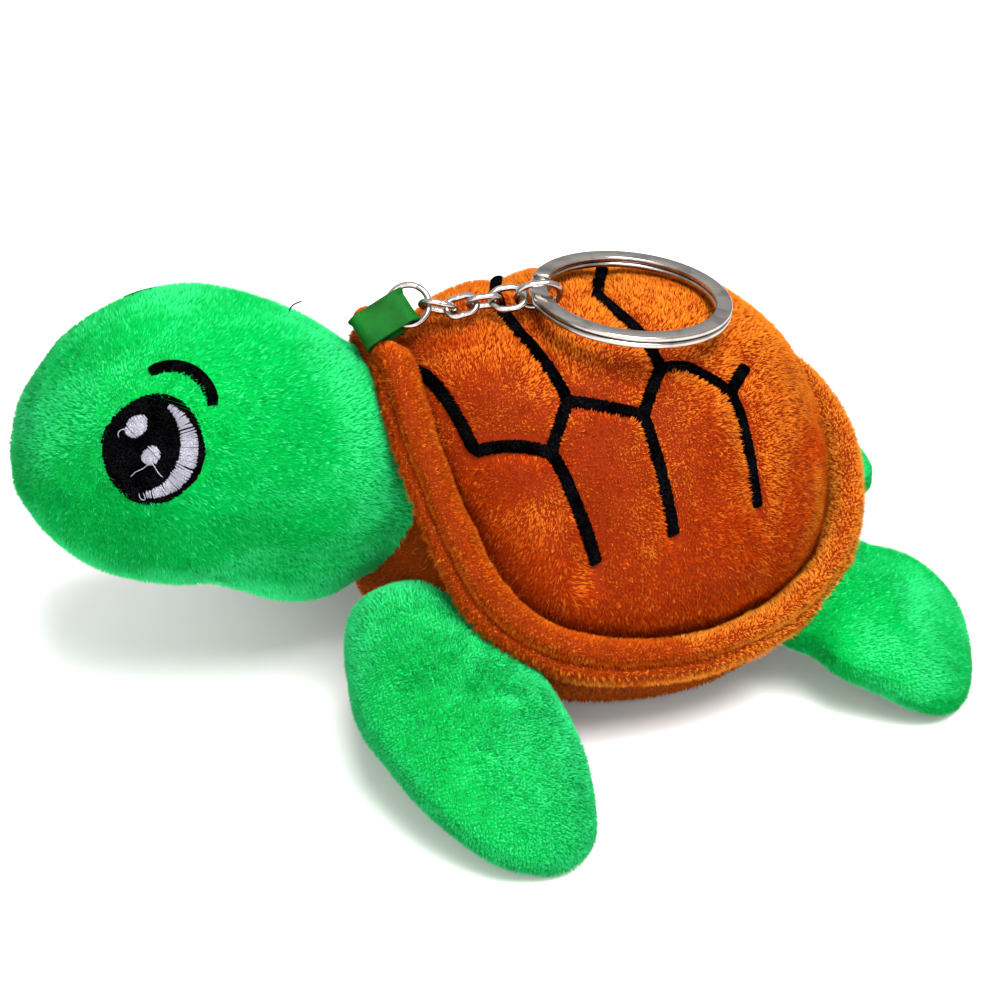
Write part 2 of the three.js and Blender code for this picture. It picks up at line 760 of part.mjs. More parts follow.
function addEye(word, side) {
  const piece = (outline) => facePrism(side, 0, 0, outline);
  const dot = ([wide, high], radius) => disc(wide * eyeHalfWide, high * eyeHalfTall, radius, radius);
  const crescent = (grown) => {
    const longer = grown / eyeHalfWide;
    const outer = roundOutline(
      0, 0, -(crescentOuterShare * eyeHalfWide + grown), crescentOuterShare * eyeHalfTall + grown,
      radians(crescentFromDegrees) - longer, radians(crescentToDegrees) + longer, crescentSteps,
    );
    const inner = disc(
      crescentSetShare * eyeHalfWide, 0,
      crescentInnerShares[0] * eyeHalfWide - grown, crescentInnerShares[1] * eyeHalfTall - grown,
    );
    return piece(outer).subtract(piece(inner));
  };
  const shines = [
    ['upper_dot', (grown) => piece(dot(upperDotShares, upperDotRadius + grown))],
    ['lower_dot', (grown) => piece(dot(lowerDotShares, lowerDotRadius + grown))],
    ['crescent', crescent],
  ];
  let patch = piece(disc(0, 0, eyeHalfWide, eyeHalfTall));
  shines.forEach(([, make]) => { patch = patch.subtract(make(shineGap)); });
  addPiece(`${word}_eye_patch`, toGeometry(faceLayer.intersect(patch)), blackThread(), head);
  shines.forEach(([part, make]) => {
    addPiece(`${word}_eye_${part}`, toGeometry(faceLayer.intersect(make(0))), whiteThread(), head);
  });
}

function addBrow(word, side) {
  const from = radians(browFromDegrees);
  const to = radians(browToDegrees);
  const outer = roundOutline(
    0, 0, -(browRadius + browHalfThick), browRadius + browHalfThick, from, to, browSteps,
  );
  outer.push([0, 0]);
  const inner = disc(0, 0, browRadius - browHalfThick, browRadius - browHalfThick);
  const piece = (outline) => facePrism(side, -browBehind, browAbove, outline);
  addPiece(`${word}_brow`, toGeometry(faceLayer.intersect(piece(outer).subtract(piece(inner)))),
    blackThread(), head);
}

[['left', 1], ['right', -1]].forEach(([word, side]) => {
  addEye(word, side);
  addBrow(word, side);
});

// Flippers
flippers.forEach(({ plan, side, name, place }) => {
  const frame = addFrame(`${name}_joint`, place);
  const home = place.clone().invert();
  const overFloor = (solid) => toSolid(moved(
    toGeometry(toSolid(moved(toGeometry(solid), place)).subtract(floor)), home,
  ));
  const halfRoot = flipperRootShare * plan.halfWidth;
  const skin = openSkin(
    toSolid(sided(flipperForm(plan, 0), side)), toSolid(sided(flipperForm(plan, plushWall), side)),
    plan.halfThick * flipperMouthShare, halfRoot * flipperMouthShare,
  );
  addPiece(`${name}_cover`, toGeometry(overFloor(skin)), greenPlush(), frame);
  addPiece(`${name}_filling`, sided(flipperForm(plan, plushWall + seatGap * 2), side), stuffing(), frame);
});

// Chain. Each link starts at the joint with the one before, and rests on the shell under its far end
function restingPoint(from, heading, length, hover) {
  let level = length;
  let rise = 0;
  for (let tries = 0; tries < settlingRounds; tries += 1) {
    const x = from.x + heading.x * level;
    const y = from.y + heading.y * level;
    rise = shellHeight(x, y) + hover - from.z;
    level = Math.sqrt(Math.max(length ** 2 - rise ** 2, 0));
  }
  return from.clone().addScaledVector(heading, level).addScaledVector(up, rise);
}

function pointed(origin, ahead, roll) {
  const level = new THREE.Vector3().crossVectors(up, ahead).normalize();
  const over = new THREE.Vector3().crossVectors(ahead, level);
  const normal = over.clone().multiplyScalar(Math.cos(roll)).addScaledVector(level, -Math.sin(roll));
  const side = new THREE.Vector3().crossVectors(normal, ahead);
  return new THREE.Matrix4().makeBasis(ahead, side, normal).setPosition(origin);
}

const ribbonAhead = new THREE.Vector3().setFromMatrixColumn(ribbonPlace, 0);
const ribbonRoot = new THREE.Vector3().setFromMatrixPosition(ribbonPlace);
const jumpSeat = ribbonRoot.clone().addScaledVector(ribbonAhead, jumpRingSeat);
const jumpMiddle = jumpSeat.clone().addScaledVector(ribbonAhead, jumpRingRadius);
const jumpPlace = ribbonPlace.clone().setPosition(jumpSeat);
const jumpFrame = addFrame('jump_ring_joint', jumpPlace);
const jumpRing = addPiece(
  'jump_ring', linkGeometry(jumpRingRadius + wireRadius, jumpRingRadius + wireRadius), nickel(), jumpFrame,
);
jumpRing.position.x = jumpRingRadius;

// The first link hooks on the jump ring at the side nearest to where the chain goes
const [aimX, aimY] = chainAim;
const chainHeading = new THREE.Vector3(aimX - jumpMiddle.x, aimY - jumpMiddle.y, 0).normalize();
const jumpNormal = new THREE.Vector3().setFromMatrixColumn(ribbonPlace, 2);
const hookAhead = chainHeading.clone().addScaledVector(jumpNormal, -chainHeading.dot(jumpNormal)).normalize();
const hookTangent = new THREE.Vector3().crossVectors(jumpNormal, hookAhead);
const jointStep = wireRadius + linkGap / 2;
let joint = jumpMiddle.clone().addScaledVector(hookAhead, jumpRingRadius - jointStep);

function rollTowards(ahead, normal) {
  const level = new THREE.Vector3().crossVectors(up, ahead).normalize();
  const over = new THREE.Vector3().crossVectors(ahead, level);
  return Math.atan2(-normal.dot(level), normal.dot(over));
}

const links = [
  { name: 'chain_link_1', halfLength: firstLinkHalfLength, halfWidth: firstLinkHalfWidth },
  { name: 'chain_link_2', halfLength: smallLinkHalfLength, halfWidth: smallLinkHalfWidth },
  { name: 'chain_link_3', halfLength: smallLinkHalfLength, halfWidth: smallLinkHalfWidth },
  { name: 'round_link', halfLength: roundLinkHalfLength, halfWidth: roundLinkHalfWidth },
  { name: 'end_link', halfLength: endLinkHalfLength, halfWidth: endLinkHalfWidth },
];
let roll = null;
links.forEach((link) => {
  const length = (link.halfLength - wireRadius - jointStep) * 2;
  const next = restingPoint(joint, chainHeading, length, chainHover);
  const ahead = next.clone().sub(joint).normalize();
  roll = roll === null ? rollTowards(ahead, hookTangent) : roll + radians(linkTurnDegrees);
  const frame = addFrame(`${link.name}_joint`, pointed(joint, ahead, roll));
  const piece = addPiece(link.name, linkGeometry(link.halfLength, link.halfWidth), nickel(), frame);
  piece.position.x = link.halfLength - wireRadius - jointStep;
  joint = next;
  if (link === links[links.length - 1]) joint.addScaledVector(ahead, -ringSlack);
});

// Split ring: hung in the end link, resting on the shell at its far side
const ringReach = splitRingRadius - splitRingHalfWide - linkGap / 2;
const ringAcross = new THREE.Vector3().crossVectors(up, chainHeading);

function ringAhead(slope) {
  return chainHeading.clone().multiplyScalar(Math.cos(slope)).addScaledVector(up, -Math.sin(slope));
}

function ringClears(slope) {
  const ahead = ringAhead(slope);
  const middle = joint.clone().addScaledVector(ahead, ringReach);
  const round = ellipse(middle, ahead, ringAcross, splitRingRadius, splitRingRadius, splitRingSteps);
  return round.every((point) => point.z > shellHeight(point.x, point.y) + splitRingHover);
}
const steepest = radians(splitRingSteepDegrees);
let ringSlope = steepest;
while (ringSlope > -steepest && !ringClears(ringSlope)) ringSlope -= radians(splitRingStepDegrees);
const ringFrame = addFrame('split_ring_joint', pointed(joint, ringAhead(ringSlope), 0));
const splitRing = addPiece('split_ring', splitRingGeometry(), nickel(), ringFrame);
splitRing.position.x = ringReach;

// The origin goes under the middle of the whole toy
const whole = new THREE.Box3().setFromObject(model, true);
model.position.set(-(whole.min.x + whole.max.x) / 2, -(whole.min.y + whole.max.y) / 2, -whole.min.z);

export default model;
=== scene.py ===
import json
import math

import bpy
import numpy as np
from mathutils import Euler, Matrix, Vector
from mathutils.bvhtree import BVHTree


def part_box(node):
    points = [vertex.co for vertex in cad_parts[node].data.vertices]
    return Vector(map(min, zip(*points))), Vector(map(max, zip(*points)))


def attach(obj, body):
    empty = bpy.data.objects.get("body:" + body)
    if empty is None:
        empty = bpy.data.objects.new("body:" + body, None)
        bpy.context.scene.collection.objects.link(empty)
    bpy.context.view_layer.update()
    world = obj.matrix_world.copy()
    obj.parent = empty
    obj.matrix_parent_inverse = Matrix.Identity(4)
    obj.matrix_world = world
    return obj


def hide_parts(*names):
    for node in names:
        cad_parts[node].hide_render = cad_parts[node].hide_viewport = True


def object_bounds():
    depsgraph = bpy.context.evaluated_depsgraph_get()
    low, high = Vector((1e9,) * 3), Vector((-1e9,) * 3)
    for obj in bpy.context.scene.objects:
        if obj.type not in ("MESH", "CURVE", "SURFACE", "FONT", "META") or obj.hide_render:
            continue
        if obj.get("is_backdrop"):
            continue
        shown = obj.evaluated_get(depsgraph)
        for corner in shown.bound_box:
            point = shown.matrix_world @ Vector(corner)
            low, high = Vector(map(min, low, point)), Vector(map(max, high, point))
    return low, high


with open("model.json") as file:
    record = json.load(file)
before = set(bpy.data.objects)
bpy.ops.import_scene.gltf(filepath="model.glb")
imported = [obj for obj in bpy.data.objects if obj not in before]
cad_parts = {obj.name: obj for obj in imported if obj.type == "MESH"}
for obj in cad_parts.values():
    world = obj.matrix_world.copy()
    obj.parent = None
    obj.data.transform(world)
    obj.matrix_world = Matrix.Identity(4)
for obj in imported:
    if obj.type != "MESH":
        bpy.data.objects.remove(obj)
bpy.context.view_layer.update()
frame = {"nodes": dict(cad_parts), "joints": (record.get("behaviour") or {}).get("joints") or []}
joints = {joint["name"]: joint for joint in frame["joints"]}

# Sizes and places in this script are millimetres, and every mesh is turned to metres as it is made
neck_joint = np.array(joints["head_nod"]["pos_m"]) * 1000
shell_middle = neck_joint + np.array([0, 35, -35])
body_height, body_half_width, body_half_length = 57.0, 33.0, 35.0
floor_trim = 0.5
body_shares = np.array([
    # height, half width, half length, forward shift
    [0.00, 0.50, 0.50, 0.02],
    [0.05, 0.70, 0.74, 0.04],
    [0.15, 0.85, 0.93, 0.08],
    [0.28, 0.94, 1.00, 0.12],
    [0.42, 1.00, 1.01, 0.10],
    [0.56, 0.97, 0.96, 0.08],
    [0.69, 0.88, 0.91, 0.10],
    [0.81, 0.74, 0.84, 0.14],
    [0.91, 0.54, 0.72, 0.19],
    [0.97, 0.32, 0.48, 0.18],
    [1.00, 0.00, 0.00, 0.14],
])


def smooth_through(keys, values, at):
    """Values at places between keys, on a smooth curve that passes through each of them."""
    keys, values, at = np.asarray(keys, float), np.asarray(values, float), np.asarray(at, float)
    steps = np.diff(keys)
    rises = np.diff(values, axis=0) / steps[:, None]
    slopes = np.vstack([rises[:1], (rises[1:] + rises[:-1]) / 2, rises[-1:]])
    row = np.clip(np.searchsorted(keys, at) - 1, 0, len(keys) - 2)
    part = ((at - keys[row]) / steps[row])[:, None]
    size = steps[row][:, None]
    return (
        (2 * part**3 - 3 * part**2 + 1) * values[row]
        + (part**3 - 2 * part**2 + part) * size * slopes[row]
        + (3 * part**2 - 2 * part**3) * values[row + 1]
        + (part**3 - part**2) * size * slopes[row + 1]
    )


def running_total(steps):
    """Distance travelled after each of some steps, from 0."""
    return np.concatenate([[0], np.cumsum(steps)])


def at_travel(at, travel, rows):
    """Rows of values at distances along a line, from the rows given at its points."""
    return np.stack([np.interp(at, travel, column) for column in np.transpose(rows)], -1)


body_travel = running_total(np.hypot(
    np.diff(body_shares[:, 1]) * body_half_width, np.diff(body_shares[:, 0]) * body_height))
dense_travel = np.linspace(0, body_travel[-1], 600)
dense_body = smooth_through(body_travel, body_shares, dense_travel)
dense_height = np.maximum.accumulate(dense_body[:, 0]) * (body_height + floor_trim) - floor_trim


def body_point(angle, travel, out=0.0):
    """Points of the body's side, by the angle from straight ahead and the travel up the side."""
    angle, travel = np.broadcast_arrays(angle, travel)
    row = at_travel(travel, dense_travel, dense_body)
    wide = np.maximum(row[..., 1] * body_half_width + out, 0)
    long = np.maximum(row[..., 2] * body_half_length + out, 0)
    height = np.interp(travel, dense_travel, dense_height) + out * np.interp(
        travel, [0, body_travel[2], body_travel[-3], body_travel[-1]], [-1, 0, 0.4, 1]
    )
    return np.stack([
        shell_middle[0] + wide * np.sin(angle),
        shell_middle[1] - row[..., 3] * body_half_length - long * np.cos(angle),
        shell_middle[2] + height,
    ], -1)


def lattice_noise(points, size, seed, parts=1):
    """Smooth random values from -1 to 1 that change over about a size, one or several at each point."""
    cells = 24
    table = np.random.default_rng(seed).uniform(-1, 1, (cells, cells, cells, parts))
    place = np.asarray(points) / size
    low = np.floor(place).astype(int)
    share = place - low
    share = share * share * (3 - 2 * share)
    total = 0
    for corner in range(8):
        step = np.array([corner & 1, corner >> 1 & 1, corner >> 2 & 1])
        weight = np.prod(np.where(step, share, 1 - share), -1)
        at = (low + step) % cells
        total = total + weight[..., None] * table[at[..., 0], at[..., 1], at[..., 2]]
    return total[..., 0] if parts == 1 else total


def unit(vectors):
    return vectors / np.maximum(np.linalg.norm(vectors, axis=-1, keepdims=True), 1e-9)


def put_in_scene(name, data):
    made = bpy.data.objects.new(name, data)
    bpy.context.scene.collection.objects.link(made)
    return made


def piece(name, points, faces, material, body, stands_for=(), slot=None, padding=None):
    """A mesh object from points in millimetres, riding on a body. padding is how tight it is stuffed, and is not
    used.
    """
    mesh = bpy.data.meshes.new(name)
    mesh.from_pydata((np.asarray(points) / 1000).tolist(), [], faces)
    mesh.polygons.foreach_set("use_smooth", [True] * len(mesh.polygons))
    mesh.update()
    mesh.materials.append(material)
    made = put_in_scene(name, mesh)
    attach(made, body)
    if stands_for:
        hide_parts(*stands_for)
    return made


def ring_faces(rows, sides, looped=False):
    """Four-sided faces between rows of points, each row a closed ring."""
    bands = rows if looped else rows - 1
    low = np.arange(bands)[:, None] * sides
    high = (np.arange(bands)[:, None] + 1) % rows * sides
    side = np.arange(sides)[None]
    after = (side + 1) % sides
    return np.stack([low + side, low + after, high + after, high + side], -1).reshape(-1, 4).tolist()


def facing_out(points, faces):
    """Faces turned so that they all face out of a closed form."""
    volume = sum(np.dot(points[a], np.cross(points[b], points[c])) for a, b, c, *_ in faces[::7])
    return faces if volume > 0 else [face[::-1] for face in faces]


def closed_form(rings):
    """Points and faces of a closed form through rings of points, each end closed on a middle point."""
    rows, sides = rings.shape[:2]
    points = np.vstack([rings.reshape(-1, 3), rings[0].mean(0), rings[-1].mean(0)])
    faces = ring_faces(rows, sides)
    first, last = len(points) - 2, len(points) - 1
    start = (rows - 1) * sides
    for side in range(sides):
        after = (side + 1) % sides
        faces.append([first, after, side])
        faces.append([last, start + side, start + after])
    return points, facing_out(points, faces)


def grid_normals(rings):
    """Outward directions over rings of points."""
    around = np.roll(rings, -1, 1) - np.roll(rings, 1, 1)
    along = np.gradient(rings, axis=0)
    normals = unit(np.cross(around, along))
    outward = rings - rings.mean((0, 1))
    return normals if (normals * outward).sum() > 0 else -normals


class Maker:
    """Puts shader nodes into a material or a node group, one call a node."""

    def __init__(self, tree):
        self.tree = tree

    def node(self, kind, settings=None, **inputs):
        made = self.tree.nodes.new(kind)
        for key, value in (settings or {}).items():
            setattr(made, key, value)
        for key, value in inputs.items():
            self.put(made, key.replace("_", " "), value)
        return made

    def put(self, node, key, value):
        socket = node.inputs[int(key)] if key.isdigit() else node.inputs[key]
        if isinstance(value, bpy.types.NodeSocket):
            self.tree.links.new(value, socket)
        else:
            socket.default_value = value

    def fill(self, node, *values):
        """Puts values into a node's first sockets, in order."""
        for index, value in enumerate(values):
            self.put(node, str(index), value)
        return node.outputs[0]

    def math(self, operation, *values):
        return self.fill(self.node("ShaderNodeMath", {"operation": operation}), *values)

    def mix(self, share, low, high):
        made = self.node("ShaderNodeMix", {"data_type": "RGBA"})
        for index, value in ((0, share), (6, low), (7, high)):
            self.put(made, str(index), value)
        return made.outputs[2]

    def ramp(self, value, low, high, to_low=0, to_high=1):
        """A value taken smoothly from one range to another."""
        return self.node("ShaderNodeMapRange", {"interpolation_type": "SMOOTHSTEP"}, Value=value, From_Min=low,
                         From_Max=high, To_Min=to_low, To_Max=to_high).outputs["Result"]

    def noise(self, scale, detail, distortion=0.0):
        """Cloudy values from 0 to 1 in the piece's own space."""
        place = self.node("ShaderNodeTexCoord").outputs["Object"]
        return self.node("ShaderNodeTexNoise", Vector=place, Scale=scale, Detail=detail,
                         Distortion=distortion).outputs[0]


def srgb(red, green, blue):
    """A colour as seen on a screen, from 0 to 255, as the shader's linear colour."""
    return (*[
        value / 255 / 12.92 if value <= 10 else ((value / 255 + 0.055) / 1.055) ** 2.4
        for value in (red, green, blue)
    ], 1.0)


def new_material(name, **settings):
    """A material with one Principled shader, its plain values set on its own sockets."""
    material = bpy.data.materials.new(name)
    material.use_nodes = True
    make = Maker(material.node_tree)
    shader = material.node_tree.nodes["Principled BSDF"]
    for key, value in settings.items():
        shader.inputs[key.replace("_", " ")].default_value = value
    return material, make, shader


def relief(make, shader, height, strength, depth):
    """Fine relief on a shader's surface. The height goes from 0 to 1, and its depth is in metres."""
    make.put(shader, "Normal", make.node(
        "ShaderNodeBump", Height=height, Strength=strength, Distance=depth).outputs[0])


# Loose fibre: a tangle of fine curls, with its soft hollows painted a little greyer as painted shade
stuffing_white, make, shader = new_material("stuffing", Roughness=0.95, Sheen_Weight=0.3, Sheen_Roughness=0.6)
curls, lumps = make.noise(900.0, detail=6.0, distortion=2.2), make.noise(140.0, detail=3.0)
shade = make.math("ADD", make.math("MULTIPLY", curls, 0.6), make.math("MULTIPLY", lumps, 0.4))
# Painted shade: the hollows of the relief get the greyer colour
make.put(shader, "Base Color", make.mix(make.ramp(shade, 0.35, 0.62), srgb(196, 194, 188), srgb(243, 241, 235)))
relief(make, shader, shade, strength=0.7, depth=0.0006)


def full_turn(count):
    """Angles spaced evenly round a full turn."""
    return np.linspace(0, 2 * math.pi, count, endpoint=False)


def lumpy(rings, depth, size, seed):
    return rings + grid_normals(rings) * (lattice_noise(rings, size, seed) * depth)[..., None]


angles = full_turn(72)
travels = np.linspace(0, body_travel[-1] * 0.995, 50)
filling_inset = 2.6
rings = body_point(angles[None], travels[:, None], -filling_inset)
rings = lumpy(rings, depth=0.45, size=3.0, seed=3)
piece("body_stuffing", *closed_form(rings), stuffing_white, "body", ["body_filling"], "stuffing", padding=0.85)


# Belly
# The underside is orange-brown plush with a short pile, cut in one piece and eased round the stuffing.
# It is sewn to the shell in a seam that the turned-up rim covers, and it is pressed flat on the table.

# The seam's height as shares of the body's, from over the neck, down the left side and back up the right
seam_shares = np.array([
    0.90, 0.87, 0.52, 0.34, 0.28, 0.27, 0.30, 0.40, 0.51, 0.56, 0.50, 0.42, 0.38, 0.42, 0.56, 0.87, 0.90,
])


def seam_height(angle):
    turn = np.ravel(angle) / (2 * math.pi) % 1
    keys = np.linspace(0, 1, len(seam_shares))
    return smooth_through(keys, seam_shares[:, None], turn)[:, 0].reshape(np.shape(angle)) * body_height


def travel_at(height):
    return np.interp(height, dense_height, dense_travel)


def new_group(name, inputs, outputs):
    """A shader node group with named sockets, ready to be filled. A value that is a tuple is a colour."""
    group = bpy.data.node_groups.new(name, "ShaderNodeTree")
    for label, value in inputs.items():
        kind = "Color" if isinstance(value, tuple) else "Float"
        socket = group.interface.new_socket(label, in_out="INPUT", socket_type=f"NodeSocket{kind}")
        socket.default_value = value
    for label in outputs:
        kind = "Color" if label == "Colour" else "Float"
        group.interface.new_socket(label, in_out="OUTPUT", socket_type=f"NodeSocket{kind}")
    make = Maker(group)
    return group, make, make.node("NodeGroupInput").outputs, make.node("NodeGroupOutput")


def place_group(make, shader, group, **inputs):
    """Places a group in a material. Its colour and roughness go to the shader, and its height is given back."""
    look = make.node("ShaderNodeGroup", {"node_tree": group}, **inputs).outputs
    make.put(shader, "Base Color", look["Colour"])
    make.put(shader, "Roughness", look["Roughness"])
    return look["Height"]


# Pile: one blade for each tuft of fibres. Along the blade the colour goes from the dark root, a painted shade deep
# in the pile, to the tip, and the Light colour is a painted highlight
grey = (0.5, 0.5, 0.5, 1)
pile_group, make, given, results = new_group(
    "pile colour", {"Root": grey, "Tip": grey, "Light": grey, "Patch scale": 90.0, "Patch depth": 0.5},
    ["Colour", "Roughness", "Height"])
tuft = make.node("ShaderNodeAttribute", {"attribute_name": "tuft"})
parts = make.node("ShaderNodeSeparateColor", Color=tuft.outputs["Color"])
patches, fine = make.noise(given["Patch scale"], detail=3.0, distortion=0.6), make.noise(900.0, detail=4.0)
along = make.ramp(parts.outputs[0], 0.0, 0.9)
# Painted shade: the dark root colour darkens each blade towards the skin
body_colour = make.mix(along, given["Root"], given["Tip"])
# Painted highlight: the Light colour goes on in cloudy patches of painted sheen, more or less as each piece's
# painted light and shade asks
brushed = make.math("MULTIPLY_ADD", parts.outputs[2], 0.5, -0.25)
painted_sheen_patches = make.ramp(make.math("ADD", patches, brushed), 0.36, 0.64)
lit = make.math("MULTIPLY", make.math("MULTIPLY", painted_sheen_patches, given["Patch depth"]), along)
lighter = make.mix(lit, body_colour, given["Light"])
# Some tufts and single blades get the Light colour too: painted highlights on fibres
odd = make.math("MULTIPLY", make.ramp(parts.outputs[1], 0.72, 1.0, 0, 0.75), along)
make.put(results, "Colour", make.mix(odd, lighter, given["Light"]))
make.put(results, "Roughness", make.math("MULTIPLY_ADD", fine, 0.3, 0.5))
make.put(results, "Height", fine)


def plush(name, sheen, tint, **colours):
    """Plush in one colour: the backing cloth, with the roots of the fibres as relief, and the blades of its pile."""
    made = []
    for part, sheen_roughness in (("cloth", 0.4), ("pile_colour", 0.35)):
        material, make, shader = new_material(f"{name}_{part}", Sheen_Weight=sheen, Sheen_Tint=tint,
                                              Sheen_Roughness=sheen_roughness, Specular_IOR_Level=0.03)
        height = place_group(make, shader, pile_group, **colours)
        # The backing cloth has no tuft attribute, so it takes the dark root colour of the pile: painted shade under
        # the blades
        if part == "cloth":
            relief(make, shader, height, strength=0.8, depth=0.0005)
        else:
            # Blades seen from behind are turned to face out, so that they don't go dark
            surface = make.node("ShaderNodeNewGeometry").outputs
            facing = make.math("MULTIPLY_ADD", surface["Backfacing"], -2.0, 1.0)
            turned = make.node("ShaderNodeVectorMath", {"operation": "SCALE"}, Scale=facing)
            make.put(shader, "Normal", make.fill(turned, surface["Normal"]))
        made.append(material)
    return made


def three_each(rows, key, kind):
    """Three numbers from each of a mesh's rows."""
    values = np.empty(len(rows) * 3, kind)
    rows.foreach_get(key, values)
    return values.reshape(-1, 3)


def pile(name, skin, body, material, count, length, width, lean, seed, tufts, spread=0.5,
         thin_out=None, longer=None, brushed=None):
    """Blades of pile over a skin, gathered in tufts. lean gives the way that the pile lies at each point."""
    tuft_size, gather, root_depth = 0.5, 0.6, 0.08
    rng = np.random.default_rng(seed)
    mesh = skin.data
    mesh.calc_loop_triangles()
    corners = three_each(mesh.loop_triangles, "vertices", np.int32)
    places = three_each(mesh.vertices, "co", np.float32).astype(float) * 1000
    normals = three_each(mesh.vertex_normals, "vector", np.float32).astype(float)
    a, b, c = (places[corners[:, k]] for k in range(3))
    area = np.linalg.norm(np.cross(b - a, c - a), axis=1)
    if thin_out is not None:
        area = area * thin_out((a + b + c) / 3)
    chosen = rng.choice(len(area), count, p=area / area.sum())
    u, v = rng.random(count), rng.random(count)
    u, v = np.where(u + v > 1, 1 - u, u), np.where(u + v > 1, 1 - v, v)
    shares = np.stack([1 - u - v, u, v], 1)
    at = (places[corners[chosen]] * shares[..., None]).sum(1)
    out = unit((normals[corners[chosen]] * shares[..., None]).sum(1))
    shifted = at + 0.5 * tuft_size * lattice_noise(at, 2.2 * tuft_size, seed=seed + 4, parts=3)
    cells = np.floor(shifted / tuft_size).astype(int)
    cells = cells - cells.min(0)
    most = 4096
    _, tuft_of = np.unique((cells[:, 0] * most + cells[:, 1]) * most + cells[:, 2], return_inverse=True)
    held = np.bincount(tuft_of)
    centre = np.stack([np.bincount(tuft_of, at[:, k]) / held for k in range(3)], 1)[tuft_of]
    curl = lattice_noise(at, tufts, seed=seed + 1, parts=3) * spread + rng.normal(0, 0.13, (count, 3))
    ahead = unit(out + lean(at, out) + curl)
    reach = length * (0.75 + 0.5 * rng.random(count))
    reach = reach * (1 + 0.25 * lattice_noise(at, tufts * 2, seed=seed + 2))
    if longer is not None:
        reach = reach * longer(at)
    side = unit(np.cross(out + rng.normal(0, 0.35, (count, 3)), ahead)) * (width / 2)
    tip = at + ahead * reach[:, None] + (centre - at) * gather
    root = at - out * root_depth
    made = np.stack([root - side, root + side, tip], 1).reshape(-1, 3) / 1000
    blades = bpy.data.meshes.new(name)
    blades.vertices.add(count * 3)
    blades.loops.add(count * 3)
    blades.polygons.add(count)
    blades.vertices.foreach_set("co", made.ravel())
    blades.loops.foreach_set("vertex_index", np.arange(count * 3, dtype=np.int32))
    blades.polygons.foreach_set("loop_start", np.arange(0, count * 3, 3, dtype=np.int32))
    blades.polygons.foreach_set("use_smooth", np.ones(count, bool))
    blades.update()
    tint = blades.color_attributes.new("tuft", "FLOAT_COLOR", "POINT")
    values = np.zeros((count, 3, 4))
    values[:, 2, 0] = 1
    as_its_tuft = rng.random(count) < 0.6
    values[..., 1] = np.where(as_its_tuft, rng.random(len(held))[tuft_of], rng.random(count))[:, None]
    # The third channel is painted light and shade: higher values give more of the painted highlight, lower ones less
    values[..., 2] = 0.5 if brushed is None else np.clip(brushed(at), 0, 1)[:, None]
    values[..., 3] = 1
    tint.data.foreach_set("color", values.ravel())
    facing = unit(out[:, None] + 0.35 * ahead[:, None] * np.array([0.0, 0.0, 1.0])[None, :, None])
    blades.normals_split_custom_set_from_vertices(facing.reshape(-1, 3).tolist())
    blades.materials.append(material)
    grown = put_in_scene(name, blades)
    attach(grown, body)


belly_cloth, belly_pile_colour = plush(
    "belly", sheen=0.05, tint=srgb(255, 140, 40), Root=srgb(96, 34, 2), Tip=srgb(158, 66, 9),
    Light=srgb(186, 94, 24), Patch_scale=60.0, Patch_depth=0.45)

angles = full_turn(160)
shares = np.linspace(0, 1, 46)
tops = travel_at(seam_height(angles))
belly_inset, above_table = 0.5, 0.02
rings = body_point(angles[None], shares[:, None] * tops[None], -belly_inset)
rings = lumpy(rings, depth=0.35, size=9.0, seed=5)
rings[..., 2] = np.maximum(rings[..., 2], above_table)
belly = piece("belly", *closed_form(rings), belly_cloth, "body", ["belly_cover"], "brown_plush", padding=0.8)


def along_skin(way, out):
    """A direction laid flat on the skin at each point, from the skin's outward directions there."""
    return way - out * (out @ way)[:, None]


def downward(strength):
    """Pile that is combed down over a form."""
    return lambda at, out: along_skin(np.array([0, 0, -1.0]), out) * strength


pile("belly_pile", belly, "body", belly_pile_colour, count=60000, length=0.6, width=0.2,
     lean=downward(0.5), seed=11, tufts=0.8, thin_out=lambda at: at[:, 2] > 0.8)


# Shell
# The back is a dome of velvety orange-brown plush, cut in one piece and stuffed firm.
# Black embroidery is drawn down into it, so that the cloth swells a little between the lines.
shell_cloth, shell_pile_colour = plush(
    "shell", sheen=0.05, tint=srgb(255, 130, 30), Root=srgb(112, 30, 2), Tip=srgb(192, 61, 6),
    Light=srgb(240, 143, 38), Patch_scale=75.0, Patch_depth=0.8)

# The embroidered lines on one side, as shares of the body's half width and half length
line_shares = [
    [(0.15, -0.87), (0.54, -0.72), (0.68, -0.45), (0.82, -0.38), (0.91, -0.33)],
    [(0.68, -0.45), (0.55, -0.35), (0.18, -0.46), (0.00, -0.48)],
    [(0.55, -0.35), (0.64, -0.07), (0.76, -0.05), (0.92, -0.02)],
    [(0.64, -0.07), (0.46, 0.05), (0.31, 0.03), (0.15, -0.03), (0.00, -0.08)],
    [(0.46, 0.05), (0.45, 0.16), (0.53, 0.32), (0.60, 0.34), (0.73, 0.35), (0.80, 0.36)],
    [(0.53, 0.32), (0.40, 0.42)],
]
line_size = np.array([body_half_width, body_half_length])
plan_lines = [
    np.array(line) * line_size * (side, 1) + shell_middle[:2] for side in (1, -1) for line in line_shares
]


def line_distance(places):
    """Distance in plan from points to the nearest embroidered line."""
    nearest = np.full(len(places), 99.0)
    for line in plan_lines:
        for start, end in zip(line[:-1], line[1:]):
            way = end - start
            share = np.clip((places[:, :2] - start) @ way / (way @ way), 0, 1)
            gap = places[:, :2] - start - share[:, None] * way
            nearest = np.minimum(nearest, np.hypot(gap[:, 0], gap[:, 1]))
    return nearest


def hump(values, middle, width):
    """A smooth hump: 1 at its middle, and fading over a width to both sides."""
    return np.exp(-(((values - middle) / width) ** 2))


